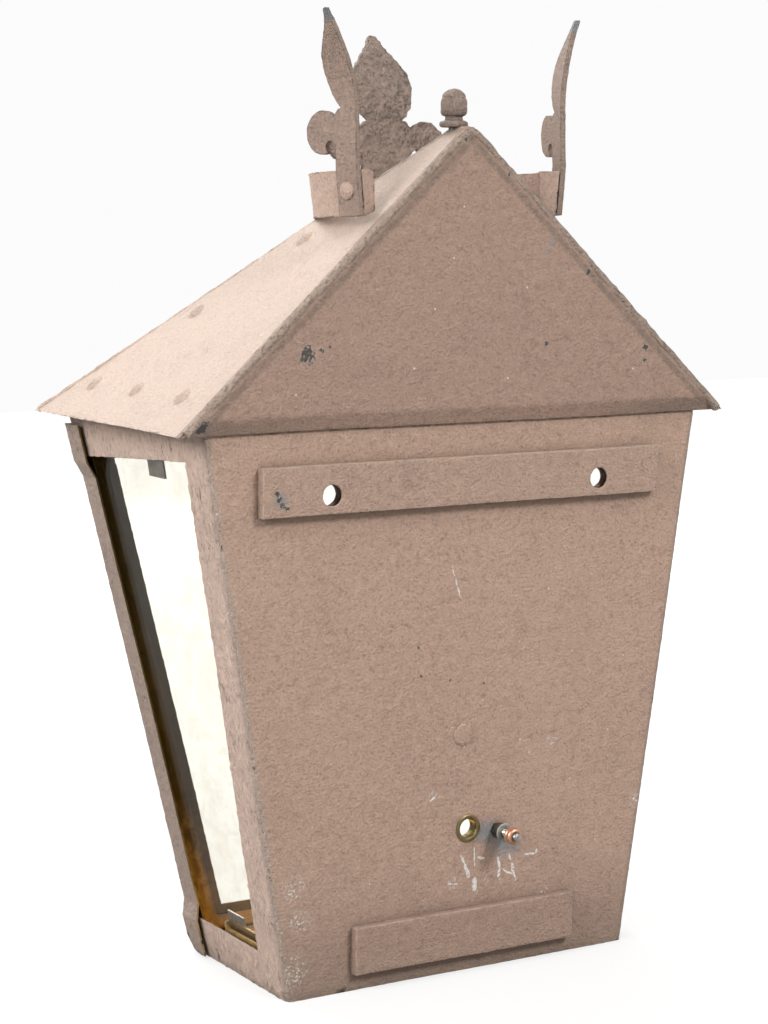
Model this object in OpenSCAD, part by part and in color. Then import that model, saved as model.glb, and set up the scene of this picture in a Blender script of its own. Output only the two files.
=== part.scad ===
// Wall lantern: a tapered sheet-metal half lantern with a gabled roof, a round crown
// with three fleurs, two wall bars behind, glass sides and a hinged glass front door.
// X runs across the wall, Y points into the wall and Z points up.
// The origin is on the upper wall bar's outer face, midway between its two screw holes.
// The body is drawn from the foot of its back plate, then moved onto the wall.

/* [Body] */
// Width of the body across its foot
base_w = 193.6; // [170:1:220]
// Width of the body under the roof
top_w = 276; // [255:1:300]
// Height of the body from its foot to the roof
body_h = 268; // [250:1:290]
// Depth of the body at its foot, door included
base_depth = 94.4; // [86:1:105]
// Depth of the body under the roof, door included
top_depth = 151; // [140:1:160]
// Thickness of the body's sheet metal
sheet = 1.2; // [1:0.1:1.5]
// Height of the floor's upper side over the foot
floor_z = 7.6; // [7:0.1:8]
// Width of the flanges folded along the back plate's edges
back_flange = 10; // [6:1:14]
// Play between soldered sheets
fit = 0.02; // [0.01:0.01:0.05]

/* [Side windows] */
// Width of the side frame behind the glass opening
rear_stile = 23.5; // [18:0.5:30]
// Height of the side frame's top rail at the back
top_rail_back = 14; // [12:0.5:18]
// Height of the side frame's top rail at the front
top_rail_front = 22; // [18:0.5:24]
// Height of the side frame's bottom rail
bottom_rail = 19; // [16:0.5:20]
// Width of the side frame in front of the glass opening
jamb_w = 13; // [10:0.5:14]
// Width of the lip that the door closes on
jamb_lip = 7.2; // [5:0.2:8]

/* [Door] */
// Thickness of the door's sheet metal
door_sheet = 0.9; // [0.7:0.1:1]
// Gap between the door and the body
door_gap = 0.3; // [0.3:0.05:0.5]
// Height of the door sheet's lower edge over the foot
door_foot = 1; // [0.8:0.2:3]
// Gap between the door's upper edge and the roof
door_head = 6; // [5:0.5:9]
// Width of the door's upright members
door_stile = 19.5; // [18:0.5:26]
// Height of the door's lower member
door_rail_low = 19; // [16:0.2:20]
// Height of the door's upper member
door_rail_high = 18; // [16:0.5:24]
// Gap between the door's hinged edge and the body's corner
hinge_edge = 3; // [2.5:0.1:4]
// Depth of the flange that wraps the free side
flange_depth = 15.3; // [14.5:0.1:18]
// Height of the flange's lower end over the foot
flange_foot = 0.8; // [0.6:0.1:2]
// How far the flange's ends step out over the side rails
flange_lift = 3; // [2:0.2:4]
// Height of the slanted part of each step
flange_step = 8; // [6:0.5:10]
// Radius of the door's lower free corner, on its face and on the flange
flange_round = 9; // [4:0.5:11]
// Height of the fixed sheet behind the door's upper member
header_h = 11; // [10:0.1:11.4]

/* [Hinges] */
// Length of each hinge
hinge_len = 32; // [26:1:40]
// Height of the lower hinge along the corner
hinge_low = 38; // [30:1:60]
// Height of the upper hinge along the corner
hinge_high = 196; // [160:1:210]
// Outer radius of the hinge knuckles
barrel_r = 2.4; // [2.2:0.1:2.6]
// Radius of the hinge pins
pin_r = 1.2; // [1:0.1:1.4]
// Radial play of the hinge pins
pin_gap = 0.05; // [0.02:0.01:0.08]
// Distance of the pins out of both corner faces
pin_out = 1.6; // [1.5:0.1:1.8]
// Gap between neighbouring knuckles
knuckle_gap = 0.3; // [0.2:0.05:0.5]
// Thickness of the hinge leaves
leaf_t = 1; // [0.8:0.1:1.2]
// Width of the hinge leaves
leaf_w = 14; // [11:0.5:15]
// Head radius of the hinge rivets
leaf_rivet_r = 1.9; // [1.5:0.1:2.2]

/* [Catch] */
// Distance of the catch below the body's top, in the door's upper member
catch_drop = 15.4; // [14.6:0.1:16.6]
// Distance of the catch to the right of the middle
catch_x = 0; // [-20:1:20]
// Radius of the turning knob
knob_r = 5.5; // [4.5:0.1:6]
// Length of the turning knob
knob_len = 9; // [7:0.5:11]
// Radius of the catch's spindle
spindle_r = 1.8; // [1.5:0.1:2]
// Length of the tongue from the spindle's centre
tongue_len = 8; // [7:0.2:8.2]
// Width of the tongue
tongue_w = 5; // [4:0.2:5.4]
// Thickness of the tongue
tongue_t = 1.5; // [1.2:0.1:2]

/* [Glass] */
// Thickness of the panes
glass = 2; // [1.6:0.1:2.4]
// How far a pane laps behind its frame
glass_lap = 4; // [3:0.2:4.5]
// Distance of the door's clips from the middle
door_clip_x = 32; // [30:1:50]
// Length of the door's clips
door_clip_w = 8; // [6:1:12]
// Distance of a side pane's front edge behind the jamb's lip
pane_back = 3.6; // [3.2:0.2:5]
// Size of the corner cut off the door's pane
pane_clip = 13; // [6:1:20]
// Width of the side panes' clips
clip_w = 17; // [12:1:20]
// Thickness of the glass clips
clip_t = 0.9; // [0.7:0.1:1.1]
// How far the clips reach past the rails
clip_show = 7; // [5:0.5:8]
// Distance of the side panes' lower clips from the back plate
clip_low_back = 45; // [36:0.5:46]
// Distance of the side panes' upper clips from the back plate
clip_high_back = 56; // [36:0.5:60]
// Length of the channel round a side pane's foot
packing_len = 38; // [25:1:42]
// Height of the channel's outer leg over the rail
packing_show = 2; // [1:0.2:4]
// Height of the channel's inner leg over the outer one
packing_rise = 3.2; // [2:0.2:4]

/* [Roof] */
// How far the roof stands out past the body's sides
eave_side = 14.1; // [12:0.5:18]
// How far the roof stands out past the door
eave_front = 12.2; // [10:0.5:16]
// How far the gable stands behind the back plate
eave_back = 4.5; // [3.5:0.1:4.6]
// Height of the roof
roof_h = 140; // [125:1:150]
// Length of the ridge between the gable and the hips
ridge_len = 16; // [14:0.5:22]
// Thickness of the roof's sheet metal
roof_sheet = 1.2; // [1:0.1:1.4]
// Thickness of the gable's lip over the slopes
lip_t = 0.8; // [0.6:0.1:1]
// Width of the gable's lip over the slopes
lip_w = 5; // [4:0.5:7]
// Height of the band turned in along the gable's foot
kick_h = 7; // [5:0.5:9]
// How far that band turns in
kick_in = 3; // [2:0.2:3.4]
// How much is cut flat off the point of the roof
tip_cut = 1.7; // [1.4:0.1:2.2]
// Width of the ring that closes the roof from below, inside the body's walls
soffit_in = 6; // [5:0.5:9]

/* [Roof studs] */
// Radius of the studs' low heads
stud_r = 7; // [5:0.5:8]
// Height of the studs' low heads
stud_h = 1.5; // [1:0.1:2]
// Radius of the studs' shanks
stud_shank_r = 2; // [1.5:0.1:2.5]
// Distance of the lower studs up the slope
stud_up = 23.6; // [18:0.5:28]
// Distance between the lower studs
stud_pitch = 48.5; // [42:0.5:50]
// Distance of the rearmost stud from the gable
stud_back = 34; // [28:0.5:40]
// Distance between the studs beside a hip, up the slope
stud_step = 52; // [45:0.5:54]
// Distance of the hip studs from the hip, level across the slope
stud_in = 17; // [14:0.5:20]

/* [Crown] */
// Radius of the crown band's lower edge, outside
crown_r = 58.2; // [55:0.2:62]
// How much wider the band is at its upper edge
crown_flare = 2; // [1:0.2:3]
// Height of the band
strap_h = 21; // [18:0.5:24]
// Thickness of the band
strap_t = 1.4; // [1:0.1:2]
// Distance of the band's centre in front of the back plate
crown_y = 27.2; // [25:0.2:30]
// How far the band leans forward
crown_tilt = 2; // [0:0.2:3]
// Half of the band's opening angle at the wall
crown_gap = 66; // [60:1:70]
// Length of the tabs turned in at the band's ends
tab_len = 6.5; // [5:0.5:8]

/* [Fleurs] */
// Height of a fleur from the foot of its stem
fleur_h = 92.4; // [80:0.2:100]
// Thickness of the fleurs
fleur_t = 2.6; // [2:0.1:3]
// Half width of the stem
stem_half = 13; // [11:0.2:13.4]
// Half width of the petal
petal_half = 15.8; // [12:0.1:17]
// Half width of the neck
neck_half = 9.2; // [6.5:0.1:10]
// Radius of the side lobes
lobe_r = 10; // [9:0.1:11]
// Lean of the right half fleur's tip
lean_right = 18.6; // [5:0.2:26]
// Lean of the front fleur's tip
lean_front = 15; // [5:0.2:26]
// Lean of the left half fleur's tip
lean_left = 8.2; // [5:0.2:26]
// Share of a fleur's height at which it starts to lean
lean_from = 0.55; // [0.45:0.01:0.6]
// How sharply the lean grows towards the tip
lean_curve = 1.7; // [1.2:0.1:2.4]
// Turn of the front fleur off the middle
front_turn = -8; // [-10:1:10]
// Turn of the half fleurs from the front
half_turn = 107; // [102:0.5:108]
// Radius of the crown's rivet heads
crown_rivet_r = 4.5; // [3.5:0.1:5]
// Height of the crown's rivets over the stem's foot
crown_rivet_z = 11.5; // [8:0.5:13]

/* [Finial] */
// Radius of the finial's collar
collar_r = 6.6; // [6:0.2:9]
// Height of the finial's collar
collar_h = 3.2; // [2:0.2:4]
// Radius of the acorn
acorn_r = 6.4; // [6:0.2:8.5]
// Height of the acorn
acorn_h = 14.8; // [12:0.2:16]
// Height of the neck under the acorn
acorn_neck_h = 2.2; // [1.5:0.1:4]
// Radius of the finial's threaded rod
rod_r = 2.5; // [2:0.1:3]

/* [Wall bars] */
// Depth of the wall bars
bar_depth = 5; // [4.7:0.1:6]
// Height of the wall bars
bar_h = 23; // [20:0.5:26]
// Length of the upper wall bar
upper_bar_len = 222; // [200:1:230]
// Length of the lower wall bar
lower_bar_len = 124.4; // [100:1:150]
// Distance of the upper wall bar's upper edge under the roof
upper_bar_drop = 15.6; // [12:0.2:24]
// Height of the lower wall bar's lower edge over the foot
lower_bar_z = 8.4; // [6:0.2:14]
// Distance between the two screw holes
screw_spacing = 150; // [130:1:170]
// Radius of the screw holes
screw_r = 5; // [4:0.1:5.5]
// Height of the screw holes over the bar's lower edge
screw_up = 8.6; // [8:0.1:14]

/* [Cable and earth] */
// Distance of the cable entry left of the middle
cable_x = 3; // [0:0.5:6]
// Height of the cable entry over the foot
cable_z = 70.4; // [64:0.2:76]
// Radius of the cable entry's bore
cable_r = 4.6; // [3.5:0.1:5]
// Wall of the cable ferrule
ferrule_wall = 0.8; // [0.6:0.1:1.2]
// Width of the ferrule's rim
ferrule_rim = 1.4; // [1:0.1:2]
// Length of the ferrule
ferrule_len = 6; // [5:0.5:10]
// Distance of the earth stud left of the middle
earth_x = 20; // [18:0.5:30]
// Height of the earth stud over the foot
earth_z = 67.5; // [60:0.5:76]
// Radius of the earth stud
earth_r = 2; // [1.5:0.1:2.5]
// Length of the earth stud behind the back plate
earth_len = 19; // [18.5:0.5:22]
// Height of the earth stud's head inside the back plate
earth_head_h = 2; // [1.5:0.1:3]
// Distance of the earth stud's outer nut from the back plate
earth_nut_out = 12; // [10:0.1:12.4]
// Height of the earth stud's outer nut
earth_nut_h = 4.8; // [3.5:0.1:5]
// Height of the steel nut that holds the earth stud on the plate
earth_lock_h = 6; // [5:0.1:6.4]
// Radial play of nuts and rivets on their shanks
thread_gap = 0.05; // [0.02:0.01:0.1]

/* [Lamp] */
// Height of the painted rivet over the foot
bracket_z = 117; // [105:1:125]
// Radius of the painted rivet's head
bracket_rivet_r = 5.5; // [4:0.1:6]
// Height of the painted rivet's head
bracket_rivet_h = 0.9; // [0.6:0.1:1.4]
// Width of the lamp bracket
bracket_w = 20; // [16:1:26]
// Thickness of the lamp bracket
bracket_t = 2; // [1.5:0.1:3]
// Height of the bracket's leg above the rivet
bracket_up = 11; // [8:0.5:14]
// Depth of the bracket's shelf under the rivet
bracket_down = 13; // [10:0.5:16]
// How far the shelf reaches past the lamp's axis
bracket_past = 12; // [9:0.5:14]
// Distance of the lamp in front of the back plate
lamp_y = 52; // [46:1:58]
// Height of the cap under the lampholder
cap_h = 12; // [10:0.5:14]
// Radius of the lampholder's body
holder_r = 19.5; // [18.5:0.5:22]
// Height of the lampholder's body
holder_h = 32; // [28:1:38]
// Radius inside the lampholder's screw shell
socket_r = 13.2; // [13:0.1:13.4]
// Wall of the lampholder's screw shell
shell_t = 0.8; // [0.5:0.1:1]
// Outer radius of the threaded tube under the lampholder
nipple_r = 5; // [4:0.1:6]

/* [Hidden] */
$fn = 64;

// Colours of the finishes
paint = [0.66, 0.56, 0.50];
paint_dark = [0.55, 0.46, 0.40];
brass = [0.66, 0.50, 0.24];
steel = [0.62, 0.62, 0.62];
copper = [0.72, 0.45, 0.32];
ceramic = [0.90, 0.88, 0.82];
pane = [0.98, 0.97, 0.88, 0.35];

// Body outline: half width, and depth of the door's face, at a height over the foot
side_run = (top_w - base_w) / 2 / body_h;
front_run = (top_depth - base_depth) / body_h;
side_tilt = atan(side_run);
front_tilt = atan(front_run);
function half_at(z) = base_w / 2 + side_run * z;
function front_at(z) = -base_depth - front_run * z;
// Level width of a sheet that leans with the side or with the front
function across_side(t) = t / cos(side_tilt);
function across_front(t) = t / cos(front_tilt);

// The body's front plane lies behind the door by its sheet and the gap
carcass = door_sheet + door_gap;
upper_bar_z = body_h - upper_bar_drop - bar_h;
screw_z = upper_bar_z + screw_up;
far = 600;
rivet_shank_r = 2.4;
// The flat fleurs stand off the round band, so their rivets are a little longer
crown_rivet_slack = 1.4;
fleur_stand = 0.2;
leaf_shank_r = 1;

// Roof outline
eave_half = top_w / 2 + eave_side;
eave_y = -top_depth - eave_front;
apex_z = body_h + roof_h;
hip_y = eave_back - ridge_len;
roof_pitch = atan(roof_h / eave_half);
front_pitch = atan(roof_h / (hip_y - eave_y));
flat_z = apex_z - tip_cut;
function slope_x(z) = eave_half * (apex_z - z) / roof_h;
function slope_y(z) = hip_y + (eave_y - hip_y) * (apex_z - z) / roof_h;
gable_in = eave_back - roof_sheet;
soffit_side = eave_half - sheet / tan(roof_pitch) - (roof_sheet + lip_t) / sin(roof_pitch) - fit;
soffit_front = eave_y + sheet / tan(front_pitch) + (roof_sheet + lip_t) / sin(front_pitch) + fit;

// Door edges
door_top = body_h - door_head;
header_z = body_h - header_h;
catch_z = body_h - catch_drop;
open_low = door_foot + door_rail_low;
open_high = door_top - door_rail_high;
step_low = bottom_rail - 1;
step_high = body_h - top_rail_front - 2;

// Depth of a side pane's far side, and of its channel, inside the side's outer face
pane_in = 2 * sheet + 0.1 + glass;
channel_in = pane_in + 0.05 + sheet;

// Angle of the corner line inside the front plane, and how far the corner is off square
corner_lean = atan(side_run * cos(front_tilt));
corner_off = asin(sin(front_tilt) * sin(side_tilt));

// The crown's lower edge rests on the two hips: how far down a hip they meet, 0 to 1
hip_run = eave_y - hip_y;
hip_a = eave_half * eave_half + hip_run * hip_run;
hip_b = 2 * (hip_y + crown_y) * hip_run;
hip_c = pow(hip_y + crown_y, 2) - pow(crown_r - strap_t, 2);
hip_meet = (sqrt(hip_b * hip_b - 4 * hip_a * hip_c) - hip_b) / (2 * hip_a);
crown_lift = apex_z - roof_h * hip_meet - lip_t / cos(roof_pitch) + fit
    - (hip_y + hip_run * hip_meet + crown_y) * sin(crown_tilt);
shelf_z = bracket_z - bracket_down;
socket_z = shelf_z + bracket_t;
cup_floor = 4;

// Placing

// Moves the body from its foot to the wall bar's screw line
module on_wall() {
    translate([0, -bar_depth, -screw_z]) children();
}

// Drawing on the right side's outer face: X back, Y up the slant, Z outward
module in_side() {
    translate([base_w / 2, 0, 0]) rotate([0, side_tilt, 0]) rotate([90, 0, 90]) children();
}

// Drawing on the door's outer face: X right, Y up the slant, Z outward
module in_front() {
    translate([0, -base_depth, 0]) rotate([front_tilt, 0, 0]) rotate([90, 0, 0]) children();
}

// Drawing along the hinged corner: Y up the corner, Z out of the door's face
module in_corner() {
    in_front() translate([-base_w / 2, 0, 0]) rotate([0, 0, corner_lean]) children();
}

// Drawing on the right roof slope: X back, Y up the slope, Z outward
module in_slope() {
    translate([eave_half, 0, body_h]) rotate([0, -90 + roof_pitch, 0])
        rotate([90, 0, 90]) children();
}

// Drawing on the front roof slope: X right, Y up the slope, Z outward
module in_front_slope() {
    translate([0, eave_y, body_h]) rotate([front_pitch - 90, 0, 0])
        rotate([90, 0, 0]) children();
}

// Drawing on the crown: X along the band, Y outward, Z up
module on_crown(turn, reach) {
    translate([0, -crown_y, crown_lift]) rotate([crown_tilt, 0, 0])
        rotate([0, 0, turn - 180]) translate([0, reach, 0]) children();
}

// Both sides of the lantern
module both_sides() {
    children();
    mirror([1, 0, 0]) children();
}

// Endless sheets in the side and front planes
module side_slab(low, high) {
    in_side() translate([-far / 2, -far / 4, low]) cube([far, far, high - low]);
}

module front_slab(low, high) {
    in_front() translate([-far / 2, -far / 4, low]) cube([far, far, high - low]);
}

// Straight-sided blocks from an outline seen from the front, the side or above
module front_block(near, back) {
    translate([0, back, 0]) rotate([90, 0, 0]) linear_extrude(back - near) children();
}

module side_block(low, high) {
    translate([low, 0, 0]) rotate([90, 0, 90]) linear_extrude(high - low) children();
}

// Outline of the body seen from the front, drawn in from its sides
module body_face(inset, low, high) {
    polygon([[-half_at(low) + inset, low], [half_at(low) - inset, low],
        [half_at(high) - inset, high], [-half_at(high) + inset, high]]);
}

// Outline of a strip seen from the side, between two distances behind the door's face
module front_strip(near, back, low, high) {
    polygon([[front_at(low) + near, low], [front_at(low) + back, low],
        [front_at(high) + back, high], [front_at(high) + near, high]]);
}

// A low round head on the ground with a shank and a closing head below
module rivet(head_r, head_h, shank_r, shank_len, tail_r, tail_h) {
    ball_r = (head_r * head_r + head_h * head_h) / (2 * head_h);
    span = asin(head_r / ball_r);
    rotate_extrude() polygon(concat(
        [[0, -shank_len - tail_h], [tail_r, -shank_len - tail_h], [tail_r, -shank_len],
        [shank_r, -shank_len], [shank_r, 0]],
        [for (i = [6:-1:0]) [ball_r * sin(span * i / 6),
            ball_r * cos(span * i / 6) - ball_r + head_h]]));
}

module nut(across, height, bore_r) {
    difference() {
        cylinder(d = across / cos(30), h = height, $fn = 6);
        translate([0, 0, -1]) cylinder(r = bore_r, h = height + 2);
    }
}

// Body sheets

module screw_holes(near, back) {
    for (side = [-1, 1])
        translate([side * screw_spacing / 2, back, screw_z]) rotate([90, 0, 0])
            cylinder(r = screw_r, h = back - near);
}

module back_plate() {
    color(paint) on_wall() difference() {
        union() {
            front_block(-sheet, 0) body_face(across_side(sheet) + fit, 0, body_h);
            both_sides() intersection() {
                side_slab(-2 * sheet - fit, -sheet - fit);
                side_block(0, far) polygon([[-back_flange, floor_z + fit],
                    [-sheet / 2, floor_z + fit], [-sheet / 2, body_h], [-back_flange, body_h]]);
            }
        }
        screw_holes(-sheet - 1, 1);
        translate([-cable_x, 1, cable_z]) rotate([90, 0, 0])
            cylinder(r = cable_r + ferrule_wall + fit, h = sheet + 2);
        translate([-earth_x, 1, earth_z]) rotate([90, 0, 0])
            cylinder(r = earth_r + thread_gap, h = sheet + 2);
        translate([0, 1, bracket_z]) rotate([90, 0, 0])
            cylinder(r = rivet_shank_r + thread_gap, h = sheet + 2);
    }
}

// Side frame seen from the side; the right one is open at the front, behind the flange
module side_outline(front_stile) {
    back_edge = across_front(carcass);
    inner = front_stile ? back_edge + jamb_w : 0;
    reach = front_stile ? 0 : far;
    open_back = body_h - top_rail_back;
    open_front = body_h - top_rail_front;
    difference() {
        polygon([[0, 0], [0, body_h], [front_at(body_h) + back_edge, body_h],
            [front_at(0) + back_edge, 0]]);
        polygon([[-rear_stile, bottom_rail], [-rear_stile, open_back],
            [front_at(open_front) + inner, open_front],
            [front_at(open_front) + inner - reach, open_front],
            [front_at(bottom_rail) + inner - reach, bottom_rail],
            [front_at(bottom_rail) + inner, bottom_rail]]);
    }
}

module side_frame_right() {
    color(paint) on_wall() intersection() {
        side_slab(-sheet, 0);
        side_block(0, far) side_outline(false);
    }
}

module side_frame_left() {
    color(paint) on_wall() difference() {
        mirror([1, 0, 0]) intersection() {
            side_slab(-sheet, 0);
            side_block(0, far) side_outline(true);
        }
        body_rivet_bores();
    }
}

// Floor, raised over the body's lower edges
module base_plate() {
    low = floor_z - sheet;
    half = half_at(low) - across_side(sheet) - fit;
    near = front_at(low) + across_front(carcass + sheet) + fit;
    color(brass) on_wall() translate([0, 0, low]) linear_extrude(sheet) polygon([
        [-half, -sheet - fit], [half, -sheet - fit], [half, near], [-half, near]]);
}

// Fixed sheets behind the door, drawn in from the body's sides
module front_panel(inset, low, high) {
    intersection() {
        front_slab(-carcass - sheet, -carcass);
        front_block(-far, far) body_face(inset, low, high);
    }
}

module front_sill() {
    color(paint) on_wall() front_panel(across_side(sheet) + fit, 0, floor_z);
}

// Between the two jambs
module front_header() {
    color(paint) on_wall() front_panel(across_side(sheet) + jamb_lip + fit, header_z, body_h);
}

// Angle strip behind a door edge: one leg along the side, one lip along the front
module jamb() {
    low = floor_z + fit;
    intersection() {
        side_slab(-2 * sheet - fit, -sheet - fit);
        side_block(0, far) front_strip(across_front(carcass), across_front(carcass) + jamb_w,
            low, body_h);
    }
    intersection() {
        front_slab(-carcass - sheet, -carcass);
        front_block(-far, far) polygon([
            [half_at(low) - across_side(sheet) - jamb_lip, low],
            [half_at(low) - across_side(sheet) - fit, low],
            [half_at(body_h) - across_side(sheet) - fit, body_h],
            [half_at(body_h) - across_side(sheet) - jamb_lip, body_h]]);
    }
}

module door_jamb_right() {
    color(brass) on_wall() jamb();
}

module door_jamb_left() {
    color(brass) on_wall() difference() {
        mirror([1, 0, 0]) jamb();
        body_rivet_bores();
    }
}

// Roof

// Flat ring that closes the overhang from below
module eave_ring() {
    inner = top_w / 2 - soffit_in;
    color(brass) on_wall() translate([0, 0, body_h]) linear_extrude(sheet) difference() {
        polygon([[-soffit_side, eave_back - kick_in - roof_sheet - fit],
            [soffit_side, eave_back - kick_in - roof_sheet - fit],
            [soffit_side, soffit_front], [-soffit_side, soffit_front]]);
        polygon([[-inner, -soffit_in], [inner, -soffit_in],
            [inner, -top_depth + soffit_in], [-inner, -top_depth + soffit_in]]);
    }
}

// Gable triangle, drawn in from its slopes by a distance
module gable_face(inset) {
    drop = inset / cos(roof_pitch);
    side = inset / sin(roof_pitch);
    polygon([[-eave_half + side, body_h], [eave_half - side, body_h],
        [(tip_cut - drop) * eave_half / roof_h, flat_z],
        [-(tip_cut - drop) * eave_half / roof_h, flat_z]]);
}

// Gable sheet seen from the side, with the band turned in along its foot
module gable_profile() {
    polygon([[gable_in, apex_z], [eave_back, apex_z], [eave_back, body_h + kick_h],
        [eave_back - kick_in, body_h], [eave_back - kick_in - roof_sheet, body_h],
        [gable_in, body_h + kick_h]]);
}

module roof_gable() {
    color(paint) on_wall() {
        intersection() {
            union() {
                front_block(gable_in, eave_back) gable_face(0);
                front_block(eave_back - 2 * kick_in, gable_in)
                    gable_face(lip_t + roof_sheet + fit);
            }
            side_block(-far, far) gable_profile();
        }
        front_block(eave_back - lip_w, gable_in) difference() {
            gable_face(0);
            polygon([[-far, body_h - 1], [-slope_x(body_h - 1) + lip_t / sin(roof_pitch), body_h - 1],
                [0, apex_z - lip_t / cos(roof_pitch)],
                [slope_x(body_h - 1) - lip_t / sin(roof_pitch), body_h - 1], [far, body_h - 1],
                [far, body_h - 2], [-far, body_h - 2]]);
        }
    }
}

// Plan of the right slope: from the gable to the hip
module slope_plan() {
    polygon([[0, gable_in - fit], [eave_half + 1, gable_in - fit],
        [eave_half + 1, eave_y + (eave_y - hip_y) / eave_half],
        [0, hip_y]]);
}

module below_tip() {
    translate([-far / 2, -far / 2, body_h]) cube([far, far, flat_z - body_h]);
}

module rod_hole() {
    translate([0, hip_y, body_h]) cylinder(r = rod_r + thread_gap, h = roof_h + 1);
}

// Rivet places on a side slope, as distance back and distance up the slope
side_studs = [for (i = [0:2]) [eave_back - stud_back - i * stud_pitch, stud_up],
    for (i = [1:2]) [slope_y(body_h + (stud_up + i * stud_step) * sin(roof_pitch)) + stud_in,
        stud_up + i * stud_step]];
front_studs = [for (i = [-2:2]) [i * (slope_x(body_h + stud_up * sin(front_pitch)) - stud_in) / 2,
    stud_up], for (side = [-1, 1], i = [1:2]) [side * (slope_x(body_h
    + (stud_up + i * stud_step) * sin(front_pitch)) - stud_in), stud_up + i * stud_step]];

module stud_holes(places) {
    for (p = places)
        translate([p[0], p[1], -5]) cylinder(r = stud_shank_r + thread_gap, h = 10);
}

module studs(places) {
    for (p = places)
        translate([p[0], p[1], -lip_t]) rivet(stud_r, stud_h, stud_shank_r, roof_sheet,
            1.6 * stud_shank_r, 0.5 * stud_shank_r);
}

module side_slope() {
    difference() {
        intersection() {
            in_slope() translate([-far / 2, -10, -lip_t - roof_sheet])
                cube([far, far, roof_sheet]);
            linear_extrude(far) slope_plan();
            below_tip();
        }
        in_slope() stud_holes(side_studs);
        rod_hole();
    }
}

module roof_slope_right() {
    color(paint) on_wall() side_slope();
}

module roof_slope_left() {
    color(paint) on_wall() mirror([1, 0, 0]) side_slope();
}

module roof_slope_front() {
    color(paint) on_wall() difference() {
        intersection() {
            in_front_slope() translate([-far / 2, -10, -lip_t - roof_sheet])
                cube([far, far, roof_sheet]);
            linear_extrude(far) polygon([[0, hip_y],
                [eave_half + 1, eave_y + (eave_y - hip_y) / eave_half],
                [-eave_half - 1, eave_y + (eave_y - hip_y) / eave_half]]);
            below_tip();
        }
        in_front_slope() stud_holes(front_studs);
        rod_hole();
    }
}

module roof_studs_right() {
    color(paint) on_wall() in_slope() studs(side_studs);
}

module roof_studs_left() {
    color(paint) on_wall() mirror([1, 0, 0]) in_slope() studs(side_studs);
}

module roof_studs_front() {
    color(paint) on_wall() in_front_slope() studs(front_studs);
}

// Crown

crown_end = 180 - crown_gap;
flare_tilt = atan(crown_flare / strap_h);
tab_x = (crown_r - strap_t - tab_len) * sin(crown_end);

module crown_band() {
    foot = body_h + (1 - tab_x / eave_half) * roof_h - crown_lift;
    color(paint) on_wall() difference() {
        union() {
            translate([0, -crown_y, crown_lift]) rotate([crown_tilt, 0, 0])
                rotate([0, 0, -90 - crown_end]) rotate_extrude(angle = 2 * crown_end)
                    polygon([[crown_r - strap_t, 0], [crown_r, 0],
                        [crown_r + crown_flare, strap_h],
                        [crown_r + crown_flare - strap_t, strap_h]]);
            for (side = [-1, 1]) on_crown(side * crown_end, 0)
                rotate([90, 0, 90]) translate([0, 0, -strap_t / 2 + side * strap_t / 2])
                    linear_extrude(strap_t) polygon([[crown_r - strap_t - tab_len, foot + 1],
                        [crown_r - strap_t / 2, 0],
                        [crown_r + crown_flare - strap_t / 2, strap_h],
                        [crown_r - strap_t - tab_len, strap_h]]);
        }
        for (turn = [front_turn, half_turn, -half_turn])
            on_crown(turn, crown_r + fleur_stand) crown_rivet_bore();
    }
}

// On a fleur's outer face at its rivet, Z along the rivet
module at_crown_rivet() {
    translate([0, bend(crown_rivet_z, 0) + fleur_t, crown_rivet_z])
        rotate([-90 - flare_tilt, 0, 0]) children();
}

module crown_rivet_bore() {
    at_crown_rivet() translate([0, 0, -20]) cylinder(r = rivet_shank_r + thread_gap, h = 30);
}

// How far the fleur's inner face stands out at a height over its foot: along the band, then
// straight up to the share of its height where it starts to lean outwards
function bend(h, lean) = crown_flare * min(h, strap_h) / strap_h
    + lean * pow(max(h - lean_from * fleur_h, 0) / ((1 - lean_from) * fleur_h), lean_curve);

// Side view of a fleur's bent plate
module fleur_profile(lean) {
    steps = 18;
    top = fleur_h + 1;
    polygon([for (i = [0:steps]) [bend(i * top / steps, lean), i * top / steps],
        for (i = [steps:-1:0]) [bend(i * top / steps, lean) + fleur_t, i * top / steps]]);
}

// Front view of a fleur: stem, two curled lobes and a pointed petal
module fleur_face() {
    s = fleur_h / 91;
    petal = [[0, 44 * s], [neck_half, 48.5 * s], [neck_half + 2.6, 51.5 * s],
        [petal_half - 1.6, 56 * s], [petal_half - 0.2, 61.5 * s], [petal_half, 66.5 * s],
        [petal_half - 1, 71 * s], [petal_half * 0.78, 75.5 * s], [petal_half * 0.5, 81 * s],
        [petal_half * 0.28, 85.5 * s], [2.4, fleur_h - 1.8], [1.5, fleur_h - 0.5],
        [0, fleur_h]];
    difference() {
        union() {
            for (side = [0, 1]) mirror([side, 0]) {
                polygon(petal);
                square([stem_half, 38 * s]);
                translate([stem_half + 8, 38 * s]) circle(lobe_r);
                polygon([[0, 36 * s], [stem_half + 8, 36 * s], [stem_half - 2, 48.2 * s],
                    [0, 50 * s]]);
            }
        }
        for (side = [0, 1]) mirror([side, 0]) {
            translate([stem_half + 3.2, 31.5 * s]) circle(2.8);
            translate([stem_half, 20 * s]) square([5, 11.5 * s]);
        }
    }
}

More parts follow.
